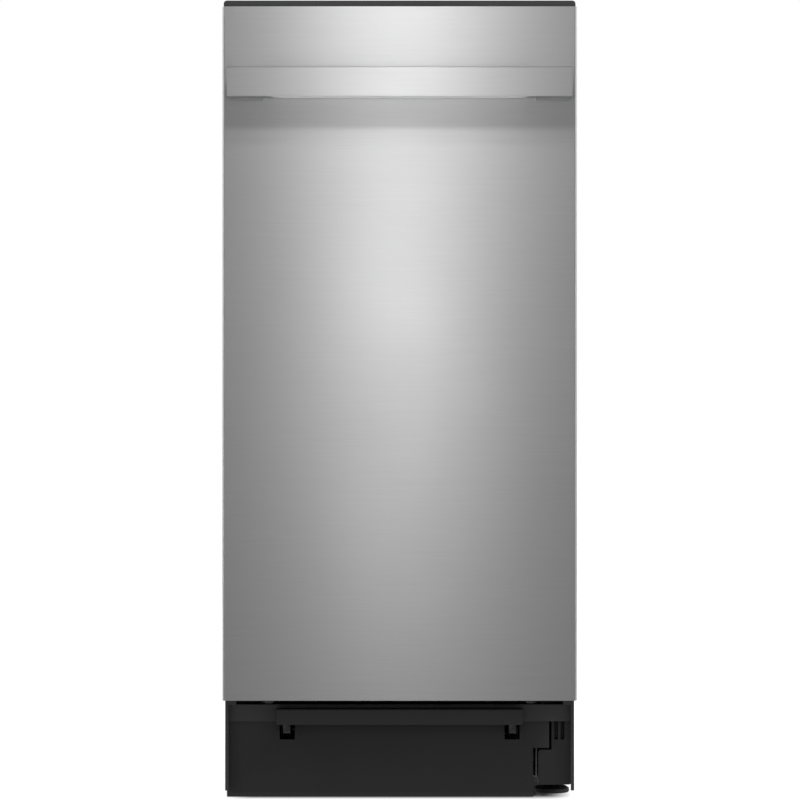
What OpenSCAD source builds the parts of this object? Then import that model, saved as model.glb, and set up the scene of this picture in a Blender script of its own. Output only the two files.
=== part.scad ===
// Built-in trash compactor, 15 in wide, for a space under a worktop.
// A drawer with a steel front holds the bin. A ram on two power screws presses down into it.
// +X is the user's right, -Y is the front, +Z is up. The origin is on the floor, at the middle of the box.

/* [Overall] */
// Width of the drawer front
front_w = 381; // [330:0.5:460]
// Height from the floor to the top of the console
unit_h = 864; // [760:1:1040]
// Depth of the cabinet behind the drawer front
cab_d = 571; // [480:1:690]
// Gap between the drawer front and the cabinet
front_gap = 3; // [2.5:0.5:5]
// How much narrower the cabinet is than the drawer front, each side
cab_inset = 0.8; // [0.5:0.1:4]
// Sheet steel thickness of the cabinet
sheet_t = 1.2; // [0.8:0.1:1.5]

/* [Drawer front] */
// Thickness of the drawer front, face to back
front_t = 36; // [30:1:44]
// Height of the front panel's lower edge above the floor
panel_z0 = 111.3; // [109:0.1:140]
// Height of console that shows above the front panel
console_lip = 6.5; // [4:0.5:12]
// Thickness of the stainless skin
skin_t = 1.2; // [0.8:0.1:1.5]
// Outer radius of the skin's folded edges
skin_r = 2.5; // [1.6:0.1:5]
// Depth of the skin's folded edges
skin_fold = 20; // [12:1:28]
// Height of the console's tray, top to bottom
console_h = 26; // [22:1:40]
// Wall of the plastic console
console_wall = 2; // [1.5:0.5:3]

/* [Handle] */
// Height of the handle bar
handle_h = 32.4; // [24:0.1:45]
// Thickness of the handle bar
handle_t = 13; // [8:0.5:18]
// How far the bar's face stands out from the front panel
handle_proj = 48; // [40:1:62]
// Distance from the panel's top edge down to the bar
handle_drop = 69.7; // [40:0.1:120]
// Distance from the panel's side edge to the bar's end
handle_inset = 7.4; // [4:0.1:30]
// Width of each end post
post_w = 36; // [24:1:60]
// Radius of the handle's screws
handle_screw_r = 2.5; // [2:0.1:3]

/* [Base] */
// Height of the base, where the front rail starts
base_h = 84.6; // [82:0.1:100]
// Height of the front rail
rail_h = 18.5; // [16:0.5:20]
// Depth of the front rail
rail_t = 11; // [8:1:13]
// How far the front rail stands back from the panel's face
rail_setback = 45; // [42:1:48]
// How far the toe plate stands back from the panel's face
toe_setback = 50; // [48:1:54]
// Gap under the toe plate
toe_gap = 1; // [0.5:0.5:6]
// Height of the base floor's underside
floor_z = 18; // [18:0.5:24]
// Thickness of the base floor and its walls
base_t = 2; // [1.5:0.1:2.5]

/* [Toe bar] */
// Width of the toe bar
bar_w = 267; // [220:1:300]
// Height of the toe bar
bar_h = 17.6; // [14:0.1:20]
// Height of the toe bar's lower edge
bar_z = 82; // [80:0.5:86]
// Thickness of the toe bar's steel
bar_t = 2; // [1.5:0.1:3]
// Width of each lever arm
arm_w = 7.5; // [5:0.5:10]
// Height of each lever arm where it passes the toe plate
arm_h = 7; // [5:0.5:7.5]
// Width of each slot in the toe plate
slot_w = 16.3; // [14:0.1:20]
// Height of each slot in the toe plate
slot_h = 15.8; // [15:0.1:18]
// Radius of the pedal's hinge rod
pedal_rod_r = 4; // [3:0.5:5]

/* [Feet and rollers] */
// Radius of a levelling foot's pad
foot_r = 19.5; // [16:0.1:19.6]
// Radius of a levelling foot's stem
stem_r = 5; // [4:0.5:6]
// Radius of the rear floor rollers
rear_roller_r = 13; // [12:0.5:14]
// Radius of the drawer and track rollers
roller_r = 10; // [8:0.5:10]
// Radius of the roller axles
axle_r = 4; // [3:0.5:4]
// Running clearance of an axle in its hole, on the radius
run_gap = 0.1; // [0.05:0.05:0.3]

/* [Bin] */
// Height of the bin
bin_h = 420; // [340:1:480]
// Wall of the bin
bin_wall = 2; // [1.5:0.5:3]
// Free space between the bin and the uprights, each side
bin_side_gap = 31; // [31:1:60]
// Free space behind the drawer front before the bin
bin_front_gap = 16; // [16:1:30]

/* [Ram and drive] */
// Clearance between the ram and the inside of the bin, each side
ram_clear = 12; // [10:1:20]
// Clearance between the ram and the inside of the bin, front and back
ram_clear_y = 16; // [12:1:30]
// Height of the ram's crosshead beam
beam_h = 25; // [20:1:40]
// Radius of the power screws
screw_r = 9.5; // [8:0.5:10]
// Radius of the power screws' journals
journal_r = 6; // [5:0.5:7]
// Distance from the cabinet's outer face to a power screw's axis
screw_inset = 23.7; // [23.7:0.1:26]
// Pitch of the drive chain
chain_pitch = 9.525; // [9.525:0.001:9.525]
// Teeth on each sprocket
sprocket_teeth = 10; // [9:1:10]
// Thickness of the sprockets
sprocket_t = 4; // [3:0.5:4.5]
// Teeth on the drive gear
gear_teeth = 70; // [60:1:80]
// Teeth on the motor pinion
pinion_teeth = 14; // [14:2:18]
// Module of the gear teeth
gear_module = 1.25; // [1:0.05:1.4]
// Radius of the motor
motor_r = 44; // [36:1:46]
// Height of the motor
motor_h = 132; // [110:1:160]

/* [Hidden] */
$fn = 48;
far = 1000;

// Places along the depth. s counts back from the front panel's face, and y_at(s) is its Y.
total_d = handle_proj + front_t + front_gap + cab_d;
face_y = handle_proj - total_d / 2;
function y_at(s) = face_y + s;
s_cab = front_t + front_gap;
s_back = s_cab + cab_d;
back_inset = 3;
s_back_in = s_back - back_inset - sheet_t;

// Places across the width
half_front = front_w / 2;
half_cab = half_front - cab_inset;
half_in = half_cab - sheet_t;
half_base = half_in - base_t;
screw_x = half_cab - screw_inset;
upright_t = 2.5;
upright_out = half_base;
upright_in = upright_out - 35.5;
track_t = 1.5;
track_x1 = upright_in;
track_x0 = track_x1 - track_t;
roller_x1 = track_x0 - 2.5;
roller_w = 7.5;
roller_x0 = roller_x1 - roller_w;
web_t = 1.5;
web_x0 = roller_x0 - 2.5;
bin_x = upright_in - bin_side_gap - 2;
bin_in_x = bin_x - bin_wall;

// Places up the height
cab_top = unit_h - 4;
panel_z1 = unit_h - console_lip;
floor_top = floor_z + base_t;
rail_z1 = base_h + rail_h;
track_z0 = rail_z1 + 0.4;
drawer_z0 = track_z0 + 2.5;
rail_c_h = 20;
tray_z = drawer_z0 + 6;
tray_t = 1.5;
bin_z0 = tray_z + tray_t;
bin_top = bin_z0 + bin_h;
cross_h = 20;
cross_z0 = cab_top - sheet_t - cross_h;

// Places of the drawer's pieces along the depth
bin_s0 = front_t + bin_front_gap;
bin_s1 = s_back - 160;
drawer_axle_s = bin_s1 + 28;
chassis_s1 = bin_s1 + 38;
track_axle_s = rail_setback + rail_t + 12;
mid_s = (bin_s0 + bin_s1) / 2;
upright_d = 68;

// Ram
ram_gap = 12;
ram_z0 = bin_top + ram_gap;
ram_plate_t = 5;
beam_z1 = cross_z0 - 8;
beam_z0 = beam_z1 - beam_h;
ram_x = bin_in_x - ram_clear;
ram_s0 = bin_s0 + bin_wall + ram_clear_y;
ram_s1 = bin_s1 - bin_wall - ram_clear_y;
beam_half_d = upright_d / 2 - upright_t - 3.5;

// Drive
bearing_h = 18;
sprocket_z = floor_top + bearing_h + 7;
sprocket_pr = chain_pitch / (2 * sin(180 / sprocket_teeth));
chain_roller_r = 2.54;
chain_half = 4.1;
link_t = 1.2;
gear_r = gear_module * gear_teeth / 2;
pinion_r = gear_module * pinion_teeth / 2;
gear_t = 10;
gear_z = sprocket_z + sprocket_t + 7;
motor_s = s_back_in - motor_r - 10;
gear_s = motor_s - gear_r - pinion_r;
mount_t = 4;
mount_z = gear_z + gear_t + 9;
motor_z = mount_z + mount_t;
motor_wall = 3;
shaft_r = 5;

// Pedal
pedal_s = 86;
pedal_z = bar_z - 10;
bar_s = 30;
bar_d = 12;
arm_x = bar_w / 2 - 10.9;
kick_s = pedal_s + 12;

// Console controls, from the left
button_r = 6;
button_gap = 0.3;
button_x = [-half_front + 62, -half_front + 92, -half_front + 122];
key_x = half_front - 66;
key_r = 11;
console_s = (front_t + skin_t) / 2;

// Foot housings
foot_x1 = half_in - 1.1;
foot_x0 = upright_in + 0.5;
foot_x = (foot_x0 + foot_x1) / 2 - 1;
foot_s = 112;
housing_s0 = toe_setback + 7;
housing_s1 = 132;
housing_z0 = 14.3;
housing_z1 = 52.5;
notch_x0 = foot_x0 - 6;
notch_x1 = foot_x0 + 11.5;
notch_z = housing_z1 + 2.7;

module sides() {
    children();
    mirror([1, 0, 0]) children();
}

// A block between two corners, given as [x0, x1], [s0, s1], [z0, z1].
module block(x, s, z) {
    translate([x[0], y_at(s[0]), z[0]]) cube([x[1] - x[0], s[1] - s[0], z[1] - z[0]]);
}

// A cylinder along X, Y or Z through the point (x, s, z).
module rod_x(x, s, z, r) {
    translate([x[0], y_at(s), z]) rotate([0, 90, 0]) cylinder(r = r, h = x[1] - x[0]);
}

module rod_y(x, s, z, r) {
    translate([x, y_at(s[0]), z]) rotate([-90, 0, 0]) cylinder(r = r, h = s[1] - s[0]);
}

module rod_z(x, s, z, r) {
    translate([x, y_at(s), z[0]]) cylinder(r = r, h = z[1] - z[0]);
}

// An outline in the (s, z) plane, pulled along X between x[0] and x[1].
module profile_x(x, points) {
    translate([x[1], face_y, 0]) rotate([90, 0, -90])
        linear_extrude(height = x[1] - x[0]) polygon([for (p = points) [-p[0], p[1]]]);
}

// Corner points of an arc, for outlines.
function arc(cx, cy, r, a0, a1, n = 6) =
    [for (i = [0:n]) let (a = a0 + (a1 - a0) * i / n) [cx + r * cos(a), cy + r * sin(a)]];

// ---------------------------------------------------------------- base and cabinet

module base_pan() {
    corner_x = half_cab - 49;
    roller_slot = [foot_x - 15, foot_x + 15];
    color("#2b2b2d") difference() {
        union() {
            block([-half_in, half_in], [housing_s1, s_back_in - base_t], [floor_z, floor_top]);
            block([-corner_x, corner_x], [toe_setback + sheet_t, housing_s1], [floor_z, floor_top]);
            sides() block([half_base, half_in], [housing_s1, s_back_in - base_t], [floor_z, base_h]);
            block([-half_in, half_in], [s_back_in - base_t, s_back_in], [floor_z, base_h]);
            sides() for (x = [roller_slot[0] - base_t, roller_slot[1]])
                block([x, x + base_t], [rear_axle_s - 10, rear_axle_s + 10], [rear_roller_r - 8, floor_z]);
        }
        sides() {
            block(roller_slot, [rear_axle_s - 16, rear_axle_s + 16], [floor_z - 1, floor_top + 1]);
            rod_x([roller_slot[0] - 3, roller_slot[1] + 3], rear_axle_s, rear_roller_r, axle_r + run_gap);
        }
    }
}
rear_axle_s = s_back - 35;

module front_rail() {
    color("#29292b") {
        difference() {
            union() {
                block([-half_in, half_in], [rail_setback, rail_setback + rail_t], [base_h, rail_z1]);
                sides() block([roller_x1 + 5, roller_x1 + 8], [rail_setback + rail_t, track_axle_s + 8],
                              [base_h + 3, rail_z1]);
            }
            block([-half_in + 3, half_in - 3], [rail_setback + bar_t, rail_setback + rail_t + 1],
                  [base_h + bar_t, rail_z1 - bar_t]);
            sides() rod_x([roller_x1 + 4, roller_x1 + 9], track_axle_s, track_axle_z, axle_r + run_gap);
        }
    }
}
track_axle_z = drawer_z0 - 0.2 - roller_r;

module toe_plate() {
    slot_z = bar_z - 17.5;
    hem_r = 7;
    hem = concat([[toe_setback, base_h], [toe_setback, toe_gap + hem_r]],
                 arc(toe_setback + hem_r, toe_gap + hem_r, hem_r, 180, 270),
                 [[toe_setback + hem_r, toe_gap + sheet_t]],
                 arc(toe_setback + hem_r, toe_gap + hem_r, hem_r - sheet_t, 270, 180),
                 [[toe_setback + sheet_t, base_h]]);
    color("#252527") difference() {
        profile_x([-half_in + 0.1, notch_x1], hem);
        block([notch_x0, far], [toe_setback - 1, toe_setback + hem_r + 1], [-1, notch_z]);
        sides() block([arm_x - slot_w / 2, arm_x + slot_w / 2], [toe_setback - 1, toe_setback + sheet_t + 1],
                      [slot_z, slot_z + slot_h]);
    }
}

module side_panel() {
    flange = 12;
    toe_flange = 3.7;
    color("#303033") difference() {
        union() {
            block([half_in, half_cab], [s_cab, s_back], [10, cab_top - sheet_t]);
            block([half_cab - flange, half_in], [s_cab, s_cab + sheet_t], [rail_z1, cab_top - sheet_t]);
            block([half_cab - toe_flange, half_in], [s_cab, s_cab + sheet_t], [10, rail_z1]);
        }
        for (z = [side_hole_z[0], side_hole_z[1]])
            rod_y(half_cab - flange / 2, [s_cab - 1, s_cab + sheet_t + 1], z, 2.2);
    }
}
side_hole_z = [panel_z0 + 120, cab_top - 120];

module back_panel() {
    vent_w = 90;
    color("#7d8083") difference() {
        block([-half_in, half_in], [s_back_in, s_back_in + sheet_t], [floor_z, cab_top - sheet_t]);
        for (i = [0:7])
            block([-vent_w / 2, vent_w / 2], [s_back_in - 1, s_back_in + 3],
                  [vent_z + 9 * i, vent_z + 9 * i + 4]);
        rod_y(inlet_x, [s_back_in - 1, s_back_in + 3], inlet_z, inlet_r);
    }
}
vent_z = beam_z0 - 60;
inlet_x = half_in - 78;
inlet_z = base_h + 45;
inlet_r = 11;

module top_panel() {
    flange = 12;
    color("#303033") difference() {
        union() {
            block([-half_cab, half_cab], [s_cab, s_back], [cab_top - sheet_t, cab_top]);
            block([-half_cab + flange, half_cab - flange], [s_cab, s_cab + sheet_t],
                  [cab_top - sheet_t - flange, cab_top - sheet_t]);
        }
        sides() rod_z(counter_hole_x, s_cab + 24, [cab_top - 5, cab_top + 1], 2.75);
    }
}
counter_hole_x = half_cab - 34.7;

// A side channel that stands beside the bin and carries the pull of one power screw.
module upright() {
    s0 = mid_s - upright_d / 2;
    s1 = mid_s + upright_d / 2;
    z = [sprocket_z + sprocket_t + 6, cross_z0];
    color("#55585c") {
        block([upright_out - upright_t, upright_out], [s0, s1], z);
        block([upright_in, upright_out - upright_t], [s0, s0 + upright_t], z);
        block([upright_in, upright_out - upright_t], [s1 - upright_t, s1], z);
    }
}

module top_crossmember() {
    s0 = mid_s - upright_d / 2;
    s1 = mid_s + upright_d / 2;
    z1 = cab_top - sheet_t;
    color("#55585c") {
        block([-half_base, half_base], [s0, s1], [z1 - upright_t, z1]);
        block([-half_base, half_base], [s0, s0 + upright_t], [cross_z0, z1 - upright_t]);
        block([-half_base, half_base], [s1 - upright_t, s1], [cross_z0, z1 - upright_t]);
    }
}

module screw_bearings() {
    w = 16;
    color("#8a8d90") sides() for (z = [[floor_top, floor_top + bearing_h],
                                       [cross_z0, cab_top - sheet_t - upright_t]])
        difference() {
            block([screw_x - w, screw_x + w], [mid_s - w, mid_s + w], z);
            rod_z(screw_x, mid_s, [z[0] - 1, z[1] + 1], journal_r + run_gap);
        }
}

module drawer_track() {
    s0 = track_axle_s + roller_r + 2;
    s1 = s_back - 70;
    z1 = drawer_z0 + rail_c_h + 4;
    color("#9a9da0") {
        block([track_x0, track_x1], [s0, s1], [track_z0, z1]);
        block([roller_x0, track_x0], [s0, s1], [track_z0, track_z0 + track_t]);
        block([roller_x0, track_x0], [s0, s1], [z1 - track_t, z1]);
        for (s = [s0 + 2, s1 - 24]) {
            block([track_x0, track_x1], [s, s + 22], [floor_top, track_z0]);
            block([roller_x0, track_x0], [s, s + 22], [floor_top, floor_top + track_t]);
        }
    }
}

module foot_housings() {
    rib_w = 3;
    neck_x = foot_x0 + 14.5;
    r = 3;
    color("#2c2c2e") sides() difference() {
        union() {
            translate([0, y_at(housing_s0), 0]) rotate([90, 0, 0]) mirror([0, 0, 1])
                linear_extrude(height = housing_s1 - housing_s0)
                    polygon(concat(arc(foot_x0 + r, housing_z0 + r, r, 180, 270),
                                   arc(foot_x1 - r, housing_z0 + r, r, 270, 360),
                                   [[foot_x1, base_h], [neck_x, base_h], [neck_x, housing_z1]],
                                   arc(foot_x0 + r, housing_z1 - r, r, 90, 180)));
        }
        rod_z(foot_x, foot_s, [0, housing_z1 + 5], stem_r + run_gap);
        for (x = [neck_x + 3, neck_x + 3 + rib_w + 4])
            block([x, x + rib_w + 1], [housing_s0 - 1, housing_s0 + 12], [housing_z1 + 11, base_h + 1]);
    }
}

module levelling_foot() {
    color("#1c1c1e") translate([foot_x, y_at(foot_s), 0]) {
        rotate_extrude()
            polygon([[0, 0], [foot_r - 1, 0], [foot_r, 1], [foot_r, 4.5], [foot_r - 3, 6.5], [9, 7.5],
                     [stem_r, 8], [stem_r, 45], [stem_r - 1, 46], [0, 46]]);
        translate([0, 0, 8]) cylinder(r = 8.5, h = 5, $fn = 6);
    }
}

// ---------------------------------------------------------------- drive

// Half of a tooth's angle at radius r, for an involute tooth with a 20 degree pressure angle.
function inv(a) = tan(a) * 180 / PI - a;
function half_tooth(r, rp, teeth, backlash) =
    90 / teeth + inv(20) - inv(acos(min(1, rp * cos(20) / r))) - backlash / rp * 90 / PI;

// A spur gear's outline, with one tooth centred on +Y.
function gear_points(teeth, m) =
    let (rp = m * teeth / 2, rb = rp * cos(20), r0 = rp - 1.05 * m, r1 = rp + 0.8 * m, steps = 5,
         rs = [for (i = [0:steps]) max(rb, r0) + (r1 - max(rb, r0)) * i / steps])
    [for (k = [0:teeth - 1]) let (a = 90 + 360 * k / teeth)
        each concat(
            [let (w = half_tooth(rs[0], rp, teeth, 0.2)) [r0 * cos(a - w), r0 * sin(a - w)]],
            [for (r = rs) let (w = half_tooth(r, rp, teeth, 0.2)) [r * cos(a - w), r * sin(a - w)]],
            [for (i = [steps:-1:0]) let (r = rs[i], w = half_tooth(r, rp, teeth, 0.2))
                [r * cos(a + w), r * sin(a + w)]],
            [let (w = half_tooth(rs[0], rp, teeth, 0.2)) [r0 * cos(a + w), r0 * sin(a + w)]])];

// A chain sprocket round the Z axis, with a tooth gap centred on +Y.
module sprocket(z) {
    translate([0, 0, z]) difference() {
        cylinder(r = sprocket_pr + 1.8, h = sprocket_t);
        for (k = [0:sprocket_teeth - 1])
            rotate(90 + 360 * k / sprocket_teeth) translate([sprocket_pr, 0, -1])
                cylinder(r = chain_roller_r + 0.25, h = sprocket_t + 2, $fn = 24);
    }
}

module power_screw() {
    core_z0 = sprocket_z + sprocket_t + 7;
    core_z1 = beam_z1 + 4;
    color("#a9acaf") translate([screw_x, y_at(mid_s), 0]) {
        translate([0, 0, floor_top]) cylinder(r = journal_r, h = core_z0 - floor_top);
        translate([0, 0, core_z0]) cylinder(r = screw_r, h = core_z1 - core_z0);
        translate([0, 0, core_z1]) cylinder(r = journal_r, h = cab_top - sheet_t - upright_t - 1 - core_z1);
        translate([0, 0, floor_top + bearing_h + 0.5]) cylinder(r = 10, h = 6.5);
        sprocket(sprocket_z);
    }
}

module drive_gear() {
    color("#e6e2d4") translate([0, y_at(gear_s), 0]) difference() {
        union() {
            sprocket(sprocket_z);
            translate([0, 0, sprocket_z - 3]) cylinder(r = 11, h = gear_z - sprocket_z + 3);
            translate([0, 0, gear_z])
                linear_extrude(height = gear_t) polygon(gear_points(gear_teeth, gear_module));
        }
        translate([0, 0, sprocket_z - 5]) cylinder(r = journal_r + run_gap, h = 60);
        translate([0, 0, gear_z + gear_t - 3]) difference() {
            cylinder(r = gear_r - 6, h = 5);
            translate([0, 0, -1]) cylinder(r = 14, h = 7);
        }
        for (k = [0:4])
            rotate(72 * k) translate([gear_r * 0.58, 0, gear_z - 1]) cylinder(r = 7, h = gear_t + 2);
    }
}

module gear_axle() {
    color("#9fa2a5") translate([0, y_at(gear_s), 0]) {
        translate([0, 0, floor_top]) cylinder(r = 14, h = 4);
        translate([0, 0, floor_top + 4]) cylinder(r = 9, h = sprocket_z - 3.5 - floor_top - 4);
        translate([0, 0, sprocket_z - 3.5]) cylinder(r = journal_r, h = gear_z + gear_t + 4 - sprocket_z + 3.5);
        translate([0, 0, gear_z + gear_t + 0.5]) cylinder(r = 8.5, h = 1.5);
    }
}

// The chain's two rows of link plates, above and below the sprockets, round all three sprockets.
module drive_chain() {
    centres = [[-screw_x, y_at(mid_s)], [screw_x, y_at(mid_s)], [0, y_at(gear_s)]];
    color("#6d6f72") for (z = [sprocket_z - 0.4 - link_t, sprocket_z + sprocket_t + 0.4])
        translate([0, 0, z]) linear_extrude(height = link_t) difference() {
            hull() for (c = centres) translate(c) circle(r = sprocket_pr + chain_half, $fn = 40);
            hull() for (c = centres) translate(c) circle(r = sprocket_pr - chain_half, $fn = 40);
        }
}

module motor_mount() {
    w = 120;
    s0 = gear_s - 22;
    s1 = s_back_in - base_t - 2;
    leg = 14;
    color("#55585c") difference() {
        union() {
            block([-w, w], [s0, s1], [mount_z, mount_z + mount_t]);
            sides() for (s = [s0, s1 - leg])
                block([w - leg, w], [s, s + leg], [floor_top, mount_z]);
        }
        rod_z(0, motor_s, [mount_z - 1, mount_z + mount_t + 1], pinion_r + 5);
    }
}

module motor_housing() {
    color("#3a3d42") translate([0, y_at(motor_s), motor_z]) difference() {
        union() {
            cylinder(r = motor_r, h = motor_h);
            translate([0, 0, motor_h]) cylinder(r1 = motor_r - 4, r2 = motor_r - 12, h = 8);
        }
        translate([0, 0, motor_wall]) cylinder(r = motor_r - motor_wall, h = motor_h - 2 * motor_wall);
        translate([0, 0, -1]) cylinder(r = shaft_r + 1, h = motor_wall + 2);
        for (k = [0:11])
            rotate(30 * k) translate([motor_r - 8, -2, motor_h - 26]) cube([10, 4, 16]);
    }
}

module motor_stator() {
    core_h = 56;
    color("#b4743a") translate([0, y_at(motor_s), motor_z + 34]) {
        difference() {
            cylinder(r = motor_r - motor_wall - 0.3, h = core_h);
            translate([0, 0, -1]) cylinder(r = 22, h = core_h + 2);
        }
        for (z = [-14, core_h])
            translate([0, 0, z]) difference() {
                cylinder(r = motor_r - 10, h = 14);
                translate([0, 0, -1]) cylinder(r = 24, h = 16);
            }
    }
}

module motor_rotor() {
    color("#b9bcbf") translate([0, y_at(motor_s), 0]) {
        translate([0, 0, gear_z - 3]) cylinder(r = shaft_r, h = motor_z + motor_h - motor_wall - 2 - gear_z + 3);
        translate([0, 0, motor_z + 38]) cylinder(r = 20, h = 48);
        translate([0, 0, gear_z - 2]) rotate(180 / pinion_teeth)
            linear_extrude(height = gear_t + 5) polygon(gear_points(pinion_teeth, gear_module));
    }
}

module interlock_switches() {
    color("#1f2022") {
        // Ram switch, on the right upright, above the ram's crosshead
        block([upright_in + 5, upright_in + 25],
              [mid_s + upright_d / 2, mid_s + upright_d / 2 + 11], [beam_z0 - 6, beam_z0 + 22]);
        // Drawer switch, behind the drawer, with its plunger on the drawer's back
        block([92, 112], [chassis_s1 + 5, chassis_s1 + 27], [motor_z, motor_z + 38]);
        rod_y(102, [chassis_s1 + 0.5, chassis_s1 + 5], drawer_z0 + 10, 2);
    }
}

// An open tray on the base's rear wall, where the supply cord would be joined. Its gland hole is in the back panel.
module terminal_box() {
    w = 46;
    d = 38;
    t = 1.5;
    color("#4a4d50") difference() {
        block([inlet_x - w / 2, inlet_x + w / 2], [s_back_in - d, s_back_in], [inlet_z - 24, inlet_z + 24]);
        block([inlet_x - w / 2 + t, inlet_x + w / 2 - t], [s_back_in - d + t, s_back_in + 1],
              [inlet_z - 24 + t, inlet_z + 24 - t]);
    }
}

// A cable of straight runs with rounded corners, through a list of [x, s, z] points.
module cable(points, r) {
    for (i = [0:len(points) - 2]) {
        a = [points[i][0], y_at(points[i][1]), points[i][2]];
        b = [points[i + 1][0], y_at(points[i + 1][1]), points[i + 1][2]];
        d = b - a;
        translate(a) rotate([0, acos(d[2] / norm(d)), atan2(d[1], d[0])]) cylinder(r = r, h = norm(d), $fn = 16);
        if (i > 0) translate(a) sphere(r = r, $fn = 16);
    }
}

module wiring_harness() {
    r = 3;
    box_x = inlet_x - 23;
    back_s = s_back_in - 20;
    top_z = motor_z + motor_h - 30;
    color("#2a2a2c") {
        cable([[box_x, back_s, inlet_z + 10], [motor_r + 14, back_s, inlet_z + 10],
               [motor_r + 14, back_s, top_z], [motor_r + 14, motor_s, top_z], [motor_r + 0.2, motor_s, top_z]], r);
        cable([[inlet_x, back_s, inlet_z + 24], [inlet_x, back_s, fan_z + 20], [fan_w / 2, back_s, fan_z + 20]], r);
    }
}

fan_w = 92;
fan_z = vent_z - 10;
fan_r = fan_w / 2 - 5;
fan_t = 25;

module fan_housing() {
    color("#242527") translate([0, y_at(s_back_in - fan_t), fan_z + fan_w / 2]) rotate([-90, 0, 0]) difference() {
        translate([-fan_w / 2, -fan_w / 2, 0]) cube([fan_w, fan_w, fan_t]);
        translate([0, 0, -1]) cylinder(r = fan_r, h = fan_t - 2);
        for (k = [0:7])
            rotate(45 * k) translate([14, -9, fan_t - 5]) cube([fan_r - 18, 18, 10]);
    }
}

module fan_rotor() {
    color("#1a1b1c") translate([0, y_at(s_back_in - fan_t), fan_z + fan_w / 2]) rotate([-90, 0, 0]) {
        translate([0, 0, 3]) cylinder(r = 14, h = 17);
        for (k = [0:6])
            rotate(360 / 7 * k) translate([12, -1, 5]) rotate([32, 0, 0]) cube([fan_r - 14.5, 2, 14]);
    }
}

module charcoal_filter() {
    color("#3b3b38") {
        difference() {
            block([-fan_w / 2, fan_w / 2], [s_back_in - fan_t - 12, s_back_in - fan_t], [fan_z, fan_z + fan_w]);
            block([-fan_w / 2 + 5, fan_w / 2 - 5], [s_back_in - fan_t - 13, s_back_in - fan_t + 1],
                  [fan_z + 5, fan_z + fan_w - 5]);
        }
        for (i = [0:7])
            block([-fan_w / 2 + 5, fan_w / 2 - 5], [s_back_in - fan_t - 10, s_back_in - fan_t - 2],
                  [fan_z + 9 + 10 * i, fan_z + 13 + 10 * i]);
    }
}

module cabinet_screws() {
    z = [base_h - 12, base_h + 200, cab_top - 200, cab_top - 20];
    color("#b7babd") sides() for (h = z)
        translate([half_in - 10, y_at(s_back_in + sheet_t), h]) rotate([-90, 0, 0]) {
            cylinder(r = 5, h = 1, $fn = 32);
            translate([0, 0, 1]) cylinder(r = 3.9, h = 1.6, $fn = 6);
        }
}

// ---------------------------------------------------------------- drawer front

// The stainless skin: a sheet whose four edges fold back round the drawer front.
module front_panel() {
    outer = concat([[-half_front, skin_fold]], arc(-half_front + skin_r, skin_r, skin_r, 180, 270),
                   arc(half_front - skin_r, skin_r, skin_r, 270, 360), [[half_front, skin_fold]]);
    color("#b9babb") difference() {
        translate([0, face_y, panel_z0]) linear_extrude(height = panel_z1 - panel_z0) polygon(outer);
        block([-half_front + skin_t, half_front - skin_t], [skin_t, skin_fold + 1],
              [panel_z0 + skin_t, panel_z1 - skin_t]);
        block([-half_front + skin_t, half_front - skin_t], [skin_t + 3, skin_fold + 1], [panel_z1 - 5, panel_z1 + 1]);
        sides() for (z = post_screw_z) rod_y(post_x, [-1, skin_t + 1], z, handle_screw_r + run_gap);
    }
}
handle_z1 = panel_z1 - handle_drop;
handle_z0 = handle_z1 - handle_h;
handle_x = half_front - handle_inset;
post_x = handle_x - post_w / 2 - 1;
post_screw_z = [handle_z0 + 9, handle_z1 - 9];

module handle() {
    r = 1.5;
    s0 = -handle_proj;
    s1 = handle_t - handle_proj;
    color("#c6c7c8") difference() {
        union() {
            profile_x([-handle_x, handle_x], concat(
                arc(s0 + r, handle_z0 + r, r, 180, 270), arc(s1 - r, handle_z0 + r, r, 270, 360),
                arc(s1 - r, handle_z1 - r, r, 0, 90), arc(s0 + r, handle_z1 - r, r, 90, 180)));
            sides() block([post_x - post_w / 2, post_x + post_w / 2], [s1 - r, 0], [handle_z0 + 1, handle_z1 - 1]);
        }
        sides() for (z = post_screw_z) rod_y(post_x, [-20, 1], z, handle_screw_r + run_gap);
    }
}

module handle_screws() {
    color("#a8abae") sides() for (z = post_screw_z) {
        rod_y(post_x, [-18, skin_t + 1.5], z, handle_screw_r);
        rod_y(post_x, [skin_t, skin_t + 3], z, handle_screw_r * 1.9);
    }
}

// The painted inner pan that closes the back of the drawer front.
module front_liner() {
    x = half_front - 4;
    z0 = panel_z0 + skin_t;
    z1 = unit_h - console_h;
    color("#333437") difference() {
        block([-x, x], [skin_t + 6, front_t], [z0, z1]);
        block([-x + sheet_t, x - sheet_t], [skin_t + 5, front_t - sheet_t], [z0 + sheet_t, z1 - sheet_t]);
    }
}

module console() {
    x = half_front - skin_t - 0.2;
    z0 = unit_h - console_h;
    r = 3.5;
    s0 = skin_t + 0.3;
    color("#1d1d1f") difference() {
        translate([0, y_at(s0), 0]) rotate([90, 0, 0]) mirror([0, 0, 1])
            linear_extrude(height = front_t - s0)
                polygon(concat([[-x, z0], [x, z0]], arc(x - r, unit_h - r, r, 0, 90),
                               arc(-x + r, unit_h - r, r, 90, 180)));
        block([-x + console_wall, x - console_wall], [s0 + console_wall, front_t - console_wall],
              [z0 - 1, unit_h - console_wall]);
        for (bx = button_x) rod_z(bx, console_s, [unit_h - 5, unit_h + 1], button_r + button_gap);
        rod_z(key_x, console_s, [unit_h - 5, unit_h + 1], key_r + button_gap);
        // A relief along the front edge, so that the lip stands clear of the skin's folded top
        block([-far, far], [0, skin_t + 3.2], [z0 - 1, panel_z1 + 0.2]);
    }
}

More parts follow.
